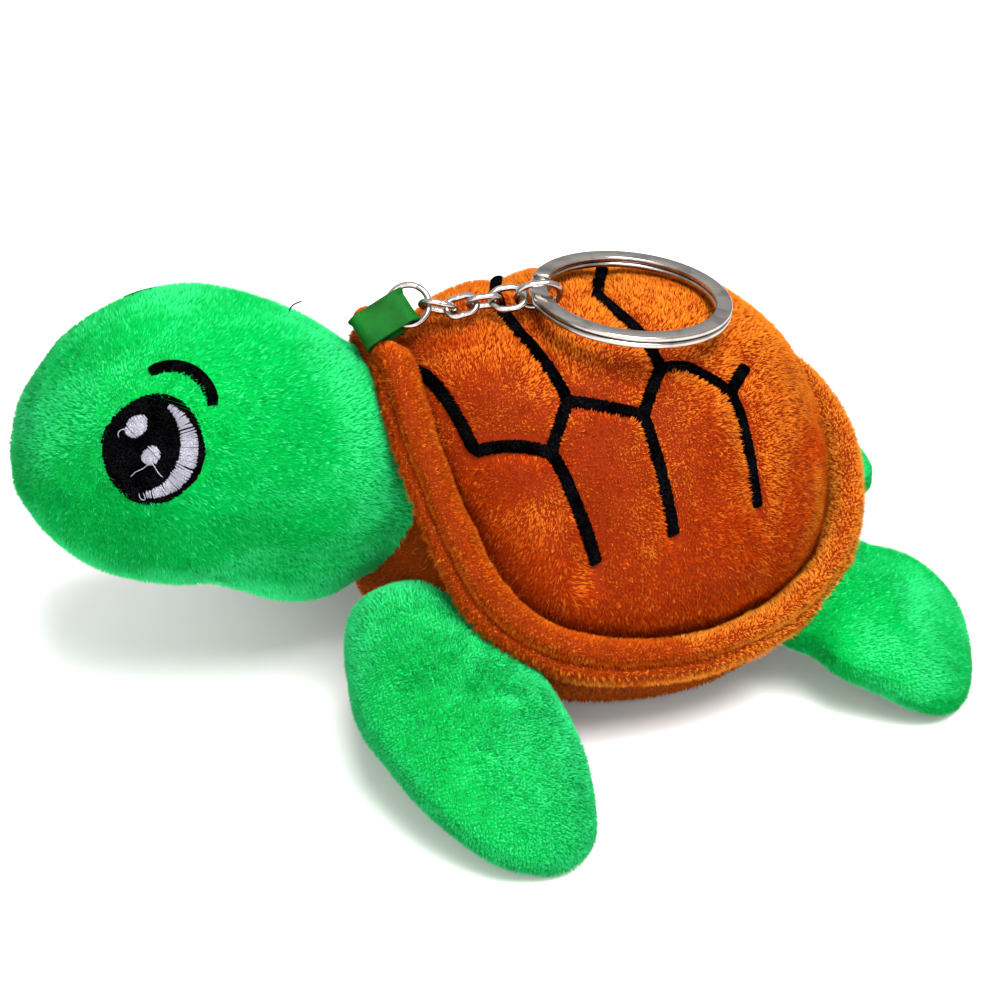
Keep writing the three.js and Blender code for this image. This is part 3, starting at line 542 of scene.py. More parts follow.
angles = full_turn(260)
shares = np.concatenate([np.linspace(0, 0.97, 110), [0.985, 0.995]])
bottoms = travel_at(seam_height(angles) - 1.0)
travels = bottoms[None] + shares[:, None] * (body_travel[-1] - bottoms)[None]
shell_inset, line_sink = 0.35, 0.35
rings = body_point(angles[None], travels, -shell_inset)
normals = grid_normals(rings)
gap = line_distance(rings.reshape(-1, 3)).reshape(rings.shape[:2])
swell = 0.75 * (1 - hump(gap, 0, 2.6)) - line_sink
edge = np.clip(shares[:, None] / 0.25, 0, 1)
crease = 1.1 * hump(shares[:, None], 0, 0.13)
uneven = lattice_noise(rings, 11.0, seed=7) * 0.35 * edge
rings = rings + normals * (swell * edge + uneven - crease)[..., None]
shell = piece("shell", *closed_form(rings), shell_cloth, "body", ["shell_cover"], "brown_plush",
              padding=0.85)
brushed_tuft = shell_middle + np.array([30.3, -14.4, 28.5])


def to_lines(at):
    """The way in plan from points to the nearest embroidered line, and how near that line is."""
    near = hump(line_distance(at), 0.9, 0.7)
    step = np.array([0.2, 0, 0])
    rises = [line_distance(at + np.roll(step, k)) - line_distance(at - np.roll(step, k)) for k in (0, 1)]
    return -unit(np.stack([*rises, 0 * rises[0]], -1)), near


def near_tuft(at):
    return hump(np.linalg.norm((at - brushed_tuft) / (2.2, 1.1, 3.0), axis=1), 0, 1)


def shell_lean(at, out):
    way, near = to_lines(at)
    tuft = near_tuft(at)[:, None] * np.array([0, 1.6, 0.6])
    combed = downward(0.4)(at, out) + 0.55 * lattice_noise(at, 9.0, seed=19, parts=3)
    return combed + 0.7 * way * near[:, None] + tuft


def shell_brushing(at):
    """Painted light and shade on the pile: lighter over the top, behind and in one raised tuft at the lower left, as
    painted highlights, and darker in the crease above the seam, as painted shade.
    """
    height, behind = (at[:, 2] - shell_middle[2] - 24) / 30, (at[:, 1] - shell_middle[1]) / 35
    way = at - shell_middle
    over_seam = way[:, 2] - seam_height(np.arctan2(way[:, 0], -way[:, 1] - 3.5))
    in_crease = hump(np.maximum(over_seam, 0), 0, 4.5) * np.clip(behind + 0.3, 0, 1)
    return 0.02 + 0.75 * np.clip(height, 0, 1) + 0.25 * behind + 0.6 * near_tuft(at) - 0.6 * in_crease


pile("shell_pile", shell, "body", shell_pile_colour, count=198000, length=0.66, width=0.14,
     lean=shell_lean, seed=21, tufts=0.8, spread=0.38,
     thin_out=lambda at: np.clip((line_distance(at) - 0.85) / 0.2, 0, 1) + 1e-6,
     longer=lambda at: 1 + 0.15 * to_lines(at)[1] + 0.7 * near_tuft(at), brushed=shell_brushing)


# Rim
# A stuffed roll of the same plush is sewn into the seam round the shell and stands up like a brim.
# Two rows of stitches draw grooves along its outer side, and the pile stands in small beads between them.
rim_cloth, rim_pile_colour = plush(
    "rim", sheen=0.05, tint=srgb(255, 140, 40), Root=srgb(112, 35, 2), Tip=srgb(196, 75, 9),
    Light=srgb(250, 154, 48), Patch_scale=110.0, Patch_depth=0.85)
rim_half_thick, rim_half_tall, rim_lean, rim_set_out = 2.6, 3.8, math.radians(28), 2.2
rim_steps, rim_sides = 420, 30


def turned_from(angle, zero):
    """The shorter way round from one angle to another."""
    return np.angle(np.exp(1j * (angle - zero)))


def ahead_round(line):
    """The way ahead at each point of a closed line."""
    return unit(np.roll(line, -1, 0) - np.roll(line, 1, 0))


def square_to(way, ahead):
    """A direction turned as little as it takes to be square to another."""
    return unit(way - (way * ahead).sum(-1, keepdims=True) * ahead)


angles = full_turn(rim_steps)
outward = np.stack([np.sin(angles), -np.cos(angles), 0 * angles], -1)
middles = body_point(angles, travel_at(seam_height(angles))) + rim_set_out * outward
ahead = ahead_round(middles)
outward = square_to(outward, ahead)
over = np.cross(outward, ahead)
over = np.where(over[:, 2:] < 0, -over, over)
tall = over * math.cos(rim_lean) + outward * math.sin(rim_lean)
thick = outward * math.cos(rim_lean) - over * math.sin(rim_lean)
turn = full_turn(rim_sides)
groove_width, groove_places = 0.24, ((math.radians(42), 0.6), (math.radians(-30), 0.4))
grooves = sum(depth * hump(turned_from(turn, at), 0, groove_width) for at, depth in groove_places)
bead_rise, bead_turns = 0.05, 150
beads = bead_rise * np.sin(angles * bead_turns)[:, None] * np.clip(np.cos(turn + math.radians(10)), 0, 1)
from_front = turned_from(angles, 0)
fuller = 0.2 * hump(np.abs(from_front), math.radians(48), 0.5)
ribbon_room = 0.45 * hump(from_front, 0, 0.17)
size = (1 - grooves + beads) * (1 + fuller - ribbon_room)[:, None]
rings = (
    middles[:, None]
    + thick[:, None] * (rim_half_thick * np.cos(turn)[None] * size)[..., None]
    + tall[:, None] * (rim_half_tall * np.sin(turn)[None] * size)[..., None]
)
rings = rings + unit(rings - middles[:, None]) * (lattice_noise(rings, 5.0, seed=9) * 0.25)[..., None]
points = rings.reshape(-1, 3)
faces = facing_out(points, ring_faces(rim_steps, rim_sides, looped=True))
rim = piece("rim", points, faces, rim_cloth, "body", ["shell_rim"], "brown_plush", padding=0.7)


def rim_turn(at):
    """The angle round the roll of the rim at each point, from its outer side over its top."""
    polar = np.unwrap(np.arctan2(middles[:, 0] - shell_middle[0], -middles[:, 1] + shell_middle[1]))
    found = np.arctan2(at[:, 0] - shell_middle[0], -at[:, 1] + shell_middle[1])
    found = polar[0] + (found - polar[0]) % (2 * math.pi)
    near = np.round(np.interp(found, polar, np.arange(rim_steps))).astype(int) % rim_steps
    way = at - middles[near]
    high, wide = (way * tall[near]).sum(1) / rim_half_tall, (way * thick[near]).sum(1) / rim_half_thick
    return np.arctan2(high, wide), found


def beads_of(at):
    """Where the outer side of the rim is drawn into small beads of pile, in rows between the two grooves."""
    round_roll, angle = rim_turn(at)
    between = np.exp(-(((round_roll - 0.1) / 0.55) ** 4))
    return np.sin(angle * 210 + 1.5 * lattice_noise(at, 4.0, seed=33)) * np.cos(round_roll * 11) * between


def rim_brushing(at):
    """Painted light and shade on the pile: the beads lighter as painted highlights, the grooves and the inner side
    darker as painted shade, and the pile lighter towards the tail and below.
    """
    round_roll, _ = rim_turn(at)
    upper_groove, lower_groove = 0.73, -0.52
    grooves = hump(round_roll, upper_groove, 0.22) + hump(round_roll, lower_groove, 0.22)
    below = 0.35 * (round_roll < lower_groove)
    inner = 0.8 * hump(np.abs(round_roll), math.pi, 0.5)
    return 0.42 + 0.75 * beads_of(at) - 0.7 * grooves + below - inner + 1.1 * (at[:, 1] - shell_middle[1]) / 40


pile("rim_pile", rim, "body", rim_pile_colour, count=195000, length=0.58, width=0.14,
     lean=downward(0.25), seed=31, tufts=0.7, spread=0.22, longer=lambda at: 1 + 0.7 * beads_of(at),
     brushed=rim_brushing)


# Shell embroidery
# Each line is satin stitch: black threads laid side by side across it, over a padding that raises them.
# The needle goes down through the plush on both sides, and the orange pile leans in over the edges.
thread_group, make, given, results = new_group(
    "thread twist", {"Colour": grey, "Glint": grey}, ["Colour", "Roughness", "Height"])
# The Glint colour is a painted highlight on the twist of the threads, stronger or weaker with the same cloudy noise
# that sets the wear in the roughness
twist, wear_and_glint = make.noise(5000.0, detail=3.0), make.noise(380.0, detail=2.0)
share = make.math("MULTIPLY", make.ramp(twist, 0.4, 0.7), make.ramp(wear_and_glint, 0.35, 0.65, 0.3))
make.put(results, "Colour", make.mix(share, given["Colour"], given["Glint"]))
make.put(results, "Roughness", make.math("MULTIPLY_ADD", wear_and_glint, 0.25, 0.5))
make.put(results, "Height", twist)


def thread_material(name, colour, glint, shine):
    material, make, shader = new_material(name, Specular_IOR_Level=shine)
    height = place_group(make, shader, thread_group, Colour=colour, Glint=glint)
    relief(make, shader, height, strength=0.5, depth=0.0001)
    return material


black_thread = thread_material("black_thread", srgb(0, 0, 0), srgb(17, 16, 19), 0.0)
white_thread = thread_material("white_thread", srgb(112, 110, 120), srgb(168, 166, 176), 0.06)


def threads(name, paths, out, material, body, stands_for=(), radius=0.1, sides=5):
    """Fine threads as closed tubes. paths holds one row of points for each, and out the way that it faces."""
    paths = np.asarray(paths, float)
    count, steps = paths.shape[:2]
    ahead = unit(np.gradient(paths, axis=1))
    out = square_to(out, ahead)
    side = np.cross(ahead, out)
    turn = full_turn(sides)
    size = radius * np.interp(np.arange(steps), [0, 0.6, steps - 1.6, steps - 1], [0.35, 1, 1, 0.35])
    spokes = out[:, :, None] * np.cos(turn)[:, None] + side[:, :, None] * np.sin(turn)[:, None]
    rings = paths[:, :, None] + spokes * size[None, :, None, None]
    starts = np.arange(count)[:, None] * steps * sides
    one_end = np.arange(sides)
    faces = (np.array(ring_faces(steps, sides))[:, ::-1] + starts[..., None]).reshape(-1, 4).tolist()
    faces += (starts + one_end).tolist() + (starts + (steps - 1) * sides + one_end[::-1]).tolist()
    slot = "black_thread" if material == black_thread else "white_thread"
    piece(name, rings.reshape(-1, 3), faces, material, body, stands_for, slot)


def surface_of(made):
    """The surface of a piece, to find points on it along a ray."""
    return BVHTree.FromObject(made, bpy.context.evaluated_depsgraph_get())


def onto(surface, starts, way):
    """Where rays from the starts meet a surface, and the surface's outward directions there."""
    places, outs = [], []
    for start in starts:
        hit, out, _, _ = surface.ray_cast(Vector(start / 1000), Vector(way))
        if hit is None:
            hit, out, _, _ = surface.find_nearest(Vector(start / 1000))
        places.append(np.array(hit) * 1000)
        outs.append(np.array(out) if out.dot(Vector(way)) < 0 else -np.array(out))
    return np.array(places), np.array(outs)


def travelled(line):
    """Distance travelled along a line, at each of its points."""
    return running_total(np.linalg.norm(np.diff(line, axis=0), axis=1))


def evenly(line, gap):
    """Points along a line of corners, a gap apart, with the corners a little rounded."""
    travel = travelled(line)
    count = max(int(travel[-1] / gap), 3)
    points = at_travel(np.linspace(0, travel[-1], count), travel, line)
    for _ in range(6):
        points[1:-1] = (points[:-2] + 2 * points[1:-1] + points[2:]) / 4
    return points


shell_surface = surface_of(shell)
stitch_half_width, stitch_pitch, stitch_rise, stitch_slant, stitch_points = 1.0, 0.2, 0.7, 0.22, 7
uneven = 0.05
rng = np.random.default_rng(41)
rows, outs = [], []
across = np.linspace(-1, 1, stitch_points)
for line in plan_lines:
    flat = evenly(line, gap=0.35)
    starts = np.column_stack([flat, np.full(len(flat), 80.0)])
    middle, out = onto(shell_surface, starts, (0, 0, -1))
    travel = travelled(middle)
    at = np.arange(0, travel[-1], stitch_pitch)
    middle, out = at_travel(at, travel, middle), unit(at_travel(at, travel, out))
    way = unit(np.gradient(middle, axis=0))
    side = unit(np.cross(way, out) + way * stitch_slant)
    half = stitch_half_width * (1 + rng.normal(0, uneven, len(at)))
    shift = rng.normal(0, uneven, len(at))
    row = middle[:, None] + side[:, None] * (half[:, None] * across[None] + shift[:, None])[..., None]
    rise = stitch_rise * (1 - np.abs(across) ** 2.6) + 0.12 - 0.35 * (np.abs(across) > 0.99)
    rows.append(row + out[:, None] * rise[None, :, None])
    outs.append(np.repeat(out[:, None], stitch_points, 1))
threads("shell_embroidery", np.concatenate(rows), np.concatenate(outs), black_thread, "body",
        ["shell_stitching"], radius=0.14)


# Head
# The head is bright green plush, two halves sewn together over the crown and stuffed round and firm.
# Its open end is drawn in and sewn to the front of the body, where it can bend up and down a little.
green_cloth, green_pile_colour = plush(
    "green", sheen=0.08, tint=srgb(120, 255, 170), Root=srgb(0, 148, 56), Tip=srgb(5, 180, 77),
    Light=srgb(66, 236, 148), Patch_scale=60.0, Patch_depth=0.6)

neck_radius, neck_tilt = 13.5, math.radians(14)
head_length, head_half_width, head_half_tall = 52.0, 21.0, 21.0
head_along = np.array([0, -math.cos(neck_tilt), math.sin(neck_tilt)])
head_up = np.array([0, math.sin(neck_tilt), math.cos(neck_tilt)])
left_side = np.array([1.0, 0, 0])
root_arc = np.radians([18, 36, 54, 72, 90])
throat_swell, jowl_swell = 4.4, 2.2
head_rows = np.array(
    [[-neck_radius, 0, 0, 0]]
    + [[-neck_radius * math.cos(a), neck_radius * math.sin(a), neck_radius * math.sin(a), 0] for a in root_arc]
    + [[along * head_length, wide * head_half_width, tall * head_half_tall, lift * head_half_tall]
       for along, wide, tall, lift in [
           (0.12, 0.77, 0.80, -0.04), (0.26, 0.88, 0.93, -0.01), (0.42, 0.96, 0.97, 0.05),
           (0.57, 1.00, 1.00, 0.03), (0.71, 0.96, 0.93, 0.00), (0.84, 0.81, 0.75, -0.04),
           (0.93, 0.59, 0.52, -0.09), (0.985, 0.31, 0.28, -0.15), (1.00, 0.00, 0.00, -0.16)]]
)


def head_form(out, rows=150, sides=150):
    travel = running_total(np.hypot(np.diff(head_rows[:, 0]), np.diff(head_rows[:, 1])))
    at = np.linspace(travel[-1] * 0.004, travel[-1] * 0.996, rows)
    row = smooth_through(travel, head_rows, at)
    turn = full_turn(sides)
    wide, high = np.maximum(row[:, 1:2] + out, 0.05), np.maximum(row[:, 2:3] + out, 0.05)
    below = hump(row[:, 0:1], 3, 12) * np.maximum(-np.sin(turn), 0) ** 0.9
    high, wide = high + throat_swell * below, wide + jowl_swell * below
    return (
        neck_joint
        + head_along * (row[:, 0:1] * (1 + out / head_length))[..., None]
        + left_side * (wide * np.cos(turn))[..., None]
        + head_up * (high * np.sin(turn) + row[:, 3:4])[..., None]
    )


head_inset = 0.65
rings = head_form(-head_inset)
normals = grid_normals(rings)
turn = full_turn(150)
crown = hump(turned_from(turn, math.pi / 2), 0, 0.05)
along = ((rings - neck_joint) @ head_along)[:, :1]
folds = sum(hump(turned_from(turn, math.radians(degrees)), 0, 0.07) for degrees in (-24, 204))
throat = folds[None] * hump(along, 10, 8)
uneven = lattice_noise(rings, 13.0, seed=15) * 0.4
rings = rings + normals * (uneven - 0.3 * crown[None] - 0.8 * throat)[..., None]
head = piece("head", *closed_form(rings), green_cloth, "head", ["head_cover"], "green_plush", padding=0.9)
rings = lumpy(head_form(-filling_inset, rows=50, sides=48), depth=0.4, size=3.0, seed=17)
piece("head_stuffing", *closed_form(rings), stuffing_white, "head", ["head_filling"], "stuffing", padding=0.85)


# Eyes and brows
# Each eye is an oval of black satin stitch with two round white shines and a white crescent.
# The brow over it is a short arc of black satin stitch, and the green pile leans in over all edges.
eye_along, eye_up, eye_yaw, eye_pitch = 27.7, -0.7, math.radians(62), math.radians(22)
eye_half_wide, eye_half_tall = 7.05, 7.3
brow_middle, brow_radius, brow_ends = np.array([-0.4, 5.6]), 5.65, (24, 137)
head_surface = surface_of(head)


def face_frame(side):
    """Origin and directions of the picture plane of an eye: forward, upright and out of the head."""
    level = head_along * math.cos(eye_yaw) + left_side * (side * math.sin(eye_yaw))
    forward = head_along * math.sin(eye_yaw) - left_side * (side * math.cos(eye_yaw))
    facing = level * math.cos(eye_pitch) + head_up * math.sin(eye_pitch)
    upright = head_up * math.cos(eye_pitch) - level * math.sin(eye_pitch)
    return neck_joint + head_along * eye_along + head_up * eye_up, forward, upright, facing


def on_face(side, flat, rise):
    """Points of the face over flat places (forward, up) in an eye's picture plane, raised above the skin."""
    origin, forward, upright, facing = face_frame(side)
    starts = origin + flat[:, :1] * forward + flat[:, 1:] * upright + facing * 40
    places, outs = onto(head_surface, starts, -facing)
    return places + outs * np.asarray(rise)[..., None], outs


def satin(name, side, lines, material, stands_for, rise, radius, steps=9):
    """Satin stitch on the face: each line is a start and an end in the eye's picture plane."""
    share = np.linspace(0, 1, steps)
    lines = np.asarray(lines, float)
    flat = lines[:, :1] * (1 - share)[None, :, None] + lines[:, 1:] * share[None, :, None]
    lift = rise * (1 - np.abs(2 * share - 1) ** 3) + 0.12
    lift = np.where((share < 0.01) | (share > 0.99), -0.3, lift)
    places, outs = on_face(side, flat.reshape(-1, 2), np.tile(lift, len(lines)))
    threads(name, places.reshape(-1, steps, 3), outs.reshape(-1, steps, 3), material, "head", [stands_for], radius)


def oval_lines(rng, middle, half_wide, half_tall, pitch, slant, ragged):
    """Parallel stitches that fill an oval, slanted and a little ragged at their ends."""
    offsets = np.arange(-half_tall + pitch / 2, half_tall, pitch)
    reach = half_wide * np.sqrt(np.maximum(1 - (offsets / half_tall) ** 2, 0.02))
    ends = []
    for sign in (-1, 1):
        x = sign * (reach + rng.normal(0, ragged, len(offsets)))
        y = offsets + rng.normal(0, pitch * 0.3, len(offsets))
        ends.append(np.stack([x, y], 1))
    lines = np.stack(ends, 1)
    turned = np.array([[math.cos(slant), math.sin(slant)], [-math.sin(slant), math.cos(slant)]])
    return lines @ turned + np.array(middle)


for word, side in (("left", 1), ("right", -1)):
    rng = np.random.default_rng(51 + side)
    eye = f"{word}_eye"
    lines = oval_lines(rng, (0, 0), eye_half_wide, eye_half_tall, pitch=0.2, slant=0.0, ragged=0.07)
    satin(f"{eye}_black", side, lines, black_thread, f"{eye}_patch", rise=0.3, radius=0.14, steps=15)
    lines = oval_lines(rng, (0, 0), eye_half_tall - 0.3, eye_half_wide - 0.3, pitch=0.24, slant=math.pi / 2,
                       ragged=0.05)
    satin(f"{eye}_underlay", side, lines, black_thread, f"{eye}_patch", rise=0.1, radius=0.17, steps=15)
    for part, middle, radius in (
        ("upper_dot", (0.39 * eye_half_wide, 0.31 * eye_half_tall), 1.6),
        ("lower_dot", (-0.03 * eye_half_wide, -0.10 * eye_half_tall), 1.35),
    ):
        lines = oval_lines(rng, middle, radius, radius, pitch=0.17, slant=0.5, ragged=0.06)
        satin(f"{eye}_{part}_white", side, lines, white_thread, f"{eye}_{part}", rise=0.62, radius=0.12)
    arc = np.radians(np.arange(-79, 85, 1.9))
    ray = np.stack([-np.cos(arc), np.sin(arc)], 1)
    outer = ray * (0.87 * np.array([eye_half_wide, eye_half_tall]))
    hollow, hollow_shift = np.array([4.8, 6.0]), np.array([1.5, 0])
    reach = outer - hollow_shift
    inner = reach / np.linalg.norm(reach / hollow, axis=1)[:, None] + hollow_shift
    lines = np.stack([outer + rng.normal(0, 0.07, outer.shape), inner + rng.normal(0, 0.07, inner.shape)], 1)
    satin(f"{eye}_crescent_white", side, lines, white_thread, f"{eye}_crescent", rise=0.55, radius=0.11)
    arc = np.radians(np.arange(brow_ends[0] - 1, brow_ends[1] + 1, 1.7))
    ray = np.stack([-np.cos(arc), np.sin(arc)], 1)
    half = 0.9 * np.interp(arc, [arc[0], arc[5], arc[-30], arc[-5], arc[-1]], [0.7, 1, 0.95, 0.85, 0.6])
    lines = np.stack([brow_middle + ray * (brow_radius + sign * half)[:, None] for sign in (1, -1)], 1)
    satin(f"{word}_brow_black", side, lines, black_thread, f"{word}_brow", rise=0.5, radius=0.13)
    for number, loose in enumerate((
        [(-0.5, -1.5), (0.3, -2.6), (1.1, -3.2), (1.6, -4.1)],
        [(-0.5, -1.5), (-1.3, -2.0), (-1.7, -2.6), (-2.4, -2.9)],
        [(3.6, 1.6), (4.3, 1.3), (4.8, 0.6), (4.4, 0.2)],
        [(-0.4, -5.6), (-1.1, -6.3), (-0.2, -6.5), (0.1, -5.8)],
    ), 1):
        flat = evenly(np.array(loose, float), gap=0.2)
        lift = 0.75 + 0.35 * np.sin(np.linspace(0, math.pi, len(flat)))
        places, outs = on_face(side, flat, lift)
        threads(f"{word}_loose_thread_{number}", places[None], outs[None], white_thread, "head", radius=0.065,
                sides=6)
crown_end = np.array([(16.6, -2.9, 18.7), (16.7, -2.9, 20.3), (16.3, -2.6, 21.2), (15.3, -2.2, 21.9)])
crown_end = evenly(crown_end, gap=0.25)
crown_end = neck_joint + crown_end @ np.stack([head_along, left_side, head_up])
threads("black_thread_end_on_the_crown", crown_end[None], np.tile(left_side, (1, len(crown_end), 1)),
        black_thread, "head", radius=0.11, sides=6)


def in_face(at, side):
    """Places in an eye's picture plane, forward and up, and how far out of the head they are."""
    origin, *ways = face_frame(side)
    return [(at - origin) @ way for way in ways]


def face_room(at):
    """Less pile where the eyes and brows are embroidered."""
    keep = np.ones(len(at))
    for side in (1, -1):
        x, y, depth = in_face(at, side)
        eye = np.hypot(x / (eye_half_wide - 0.4), y / (eye_half_tall - 0.4))
        flat_x, flat_y = x - brow_middle[0], y - brow_middle[1]
        turned = np.degrees(np.arctan2(flat_y, -flat_x))
        in_brow = (np.abs(np.hypot(flat_x, flat_y) - brow_radius) < 0.6) & (turned > brow_ends[0] + 3)
        in_brow &= turned < brow_ends[1] - 3
        keep = np.where((depth > 8) & ((eye < 1) | in_brow), 0.0, keep)
    return keep + 1e-9


def head_lean(at, out):
    """Pile combed from the snout back towards the body."""
    return along_skin(np.array([0, 0.85, -0.35]), out) * 0.45 + 0.35 * lattice_noise(at, 11.0, seed=23, parts=3)


def below_eyes(at):
    """Longer pile that fans out below and behind each eye."""
    more = np.ones(len(at))
    for side in (1, -1):
        x, y, depth = in_face(at, side)
        ring = hump(np.hypot(x / eye_half_wide, y / eye_half_tall), 1.2, 0.22)
        more = more + 0.6 * ring * (depth > 6) * np.clip(0.4 - (y + 0.5 * x) / 10, 0, 1)
    return more


def head_brushing(at):
    """Painted light and shade on the pile: darker round the cheeks as painted shade, and lighter over the crown,
    snout, throat and neck as painted highlights.
    """
    way = at - neck_joint
    height, along = way @ head_up / head_half_tall, way @ head_along / head_length
    return (0.08 + 0.5 * np.maximum(height - 0.4, 0) + 1.0 * np.maximum(-0.15 - height, 0)
            + 0.7 * hump(along, 0, 0.28) + 1.2 * np.maximum(along - 0.68, 0))


pile("head_pile", head, "head", green_pile_colour, count=198000, length=0.78, width=0.15,
     lean=head_lean, seed=61, tufts=1.8, spread=0.28, thin_out=face_room, longer=below_eyes,
     brushed=head_brushing)


# Flippers
# Four flat paddles of the same green plush, each two halves sewn round the edge and stuffed softly.
# Their narrow ends are sewn into the belly seam, where each can lift a little, and they lie on the table.
flipper_rows = np.array([
    (0.14, 0.86, 1.00), (0.30, 0.97, 1.00), (0.48, 1.00, 1.00), (0.66, 0.97, 0.94), (0.81, 0.84, 0.80),
    (0.92, 0.60, 0.58), (0.98, 0.32, 0.32), (1.00, 0.00, 0.00),
])
# The last value of each plan is painted light on the pile: the front pair is painted lighter than the rear
flipper_plans = {
    "front": dict(length=38, sweep=21, bend=18, drop=9, half_wide=13.9, half_thick=7.0, root_share=0.76,
                  fuller_ahead=0, raised=(0, 0), blades=130000, brushed=1.0),
    "rear": dict(length=24.0, sweep=3, bend=13, drop=7, half_wide=14.2, half_thick=6.8, root_share=0.9,
                 fuller_ahead=0.16, raised=(0, 6), blades=85000, brushed=0.35),
}


def bow_points(plan, drop, shares):
    """Points and directions along a flipper's middle line, by the share of its length."""
    end = np.array([math.sqrt(plan["length"] ** 2 - plan["sweep"] ** 2), plan["sweep"], -drop])
    bend = np.array([plan["bend"], 0, 0])
    fine = np.linspace(0, 1, 400)[:, None]
    curve = 2 * fine * (1 - fine) * bend + fine**2 * end
    travel = travelled(curve)
    at = np.asarray(shares) * travel[-1]
    ways = at_travel(at, travel, np.gradient(curve, axis=0)) * (1, 1, 0)
    return at_travel(at, travel, curve), unit(ways)


def flipper_form(plan, drop, out, rows=90, sides=80):
    """Rings of a flipper in its own directions: outward, towards the rear, up."""
    root_wide, root_thick = plan["root_share"] * plan["half_wide"], plan["half_thick"]
    arc = np.radians([2, 18, 36, 54, 72, 90])
    points, ways = bow_points(plan, drop, flipper_rows[:, 0])
    middle = np.vstack([np.stack([-root_thick * np.cos(arc), 0 * arc, 0 * arc], 1), points])
    wide = np.concatenate([root_wide * np.sin(arc), flipper_rows[:, 1] * plan["half_wide"]])
    thick = np.concatenate([root_thick * np.sin(arc), flipper_rows[:, 2] * plan["half_thick"]])
    way = np.vstack([np.tile([1.0, 0, 0], (len(arc), 1)), ways])
    table = np.column_stack([middle, wide, thick, way])
    travel = running_total(np.hypot(np.linalg.norm(np.diff(middle, axis=0), axis=1), np.diff(wide)))
    row = smooth_through(travel, table, np.linspace(travel[-1] * 0.003, travel[-1] * 0.997, rows))
    ahead = unit(row[:, 5:8])
    across = np.stack([-ahead[:, 1], ahead[:, 0], 0 * ahead[:, 0]], 1)
    turn = full_turn(sides)
    fuller_ahead = 1 + plan["fuller_ahead"] * hump(row[:, 0:1], 7, 7) * np.clip(-np.cos(turn), 0, 1)
    wide = np.maximum(row[:, 3:4] + out, 0.05) * np.cos(turn) * fuller_ahead
    high = np.maximum(row[:, 4:5] + out, 0.05) * np.sign(np.sin(turn)) * np.abs(np.sin(turn)) ** 0.92
    reach = row[:, :3] + ahead * (out * np.linspace(-1, 1, rows))[:, None]
    return reach[:, None] + across[:, None] * wide[..., None] + np.array([0, 0, 1.0]) * high[..., None]


flipper_inset, flipper_filling_inset, filling_above_table = 0.6, 2.8, 2.2
for pair, plan in flipper_plans.items():
    for word, side in (("left", 1), ("right", -1)):
        name = f"{pair}_{word}_flipper"
        joint = joints[f"{name}_lift"]
        root, axis = np.array(joint["pos_m"]) * 1000, joint["axis"]
        outward = np.array([-axis[1], axis[0], 0.0])
        rearward = np.array([-outward[1], outward[0], 0.0]) * side
        drop = plan["drop"]
        for _ in range(12):
            drop += root[2] + flipper_form(plan, drop, 0.0)[..., 2].min() + floor_trim
        drop -= plan["raised"][side < 0]

        def placed(local):
            return root + local[..., :1] * outward + local[..., 1:2] * rearward + local[..., 2:] * [0, 0, 1]

        rings = placed(flipper_form(plan, drop, -flipper_inset))
        turn = full_turn(rings.shape[1])
        seam = sum(hump(turned_from(turn, edge), 0, 0.09) for edge in (0, math.pi))
        seam = (0.25 * seam)[None, :, None]
        rings = lumpy(rings, depth=0.4, size=9.0, seed=71) - grid_normals(rings) * seam
        rings[..., 2] = np.maximum(rings[..., 2], above_table)
        cover = piece(name, *closed_form(rings), green_cloth, name, [f"{name}_cover"], "green_plush",
                      padding=0.7)
        rings = placed(flipper_form(plan, drop, -flipper_filling_inset, rows=40, sides=36))
        rings[..., 2] = np.maximum(rings[..., 2], filling_above_table)
        rings = lumpy(rings, depth=0.3, size=3.0, seed=73)
        piece(f"{name}_stuffing", *closed_form(rings), stuffing_white, name, [f"{name}_filling"], "stuffing",
              padding=0.7)

        def combed(at, out, way=outward):
            return 0.5 * along_skin(way, out) + 0.25 * lattice_noise(at, 12.0, seed=29, parts=3)

        pile(f"{name}_pile", cover, name, green_pile_colour, count=plan["blades"], length=0.7,
             width=0.15, lean=combed, seed=81, tufts=2.0, spread=0.24,
             thin_out=lambda at: (at[:, 2] > 1.1) + 1e-9,
             brushed=lambda at, share=plan["brushed"]: np.full(len(at), share))


# Ribbon
# A short piece of green satin ribbon is folded in two and sewn into the seam at the top of the neck.
# Its woven edges are ribbed, and the jump ring of the chain passes through the fold.
ribbon_green, make, shader = new_material("ribbon_satin", Specular_IOR_Level=0.12)
place = make.node("ShaderNodeTexCoord").outputs["Object"]
weave = make.node("ShaderNodeTexWave", {"wave_type": "BANDS", "bands_direction": "DIAGONAL"}, Vector=place,
                  Scale=3400.0, Distortion=0.8, Detail=2.0).outputs[0]
shade = make.math("MULTIPLY_ADD", weave, 0.3, make.math("MULTIPLY", make.noise(260.0, detail=2.0), 0.7))
make.put(shader, "Base Color", make.mix(make.ramp(shade, 0.3, 0.7), srgb(0, 46, 7), srgb(4, 96, 19)))
make.put(shader, "Roughness", make.math("MULTIPLY_ADD", weave, 0.15, 0.55))
relief(make, shader, weave, strength=0.4, depth=0.00008)


def axes_of(node):
    """Middle, directions and half sizes of a CAD piece, its longest way first and its flattest last."""
    places = np.array([v.co for v in frame["nodes"][node].data.vertices], float) * 1000
    middle = (places.max(0) + places.min(0)) / 2
    _, _, ways = np.linalg.svd(places - places.mean(0), full_matrices=False)
    along = (places - middle) @ ways.T
    middle = middle + ((along.max(0) + along.min(0)) / 2) @ ways
    return middle, ways, (along.max(0) - along.min(0)) / 2


def evenly_round(line, count):
    """A count of points evenly round a closed line, and the share of the way round at each."""
    line = np.vstack([line, line[:1]])
    travel = travelled(line)
    at = np.linspace(0, travel[-1], count, endpoint=False)
    return at_travel(at, travel, line), at / travel[-1]


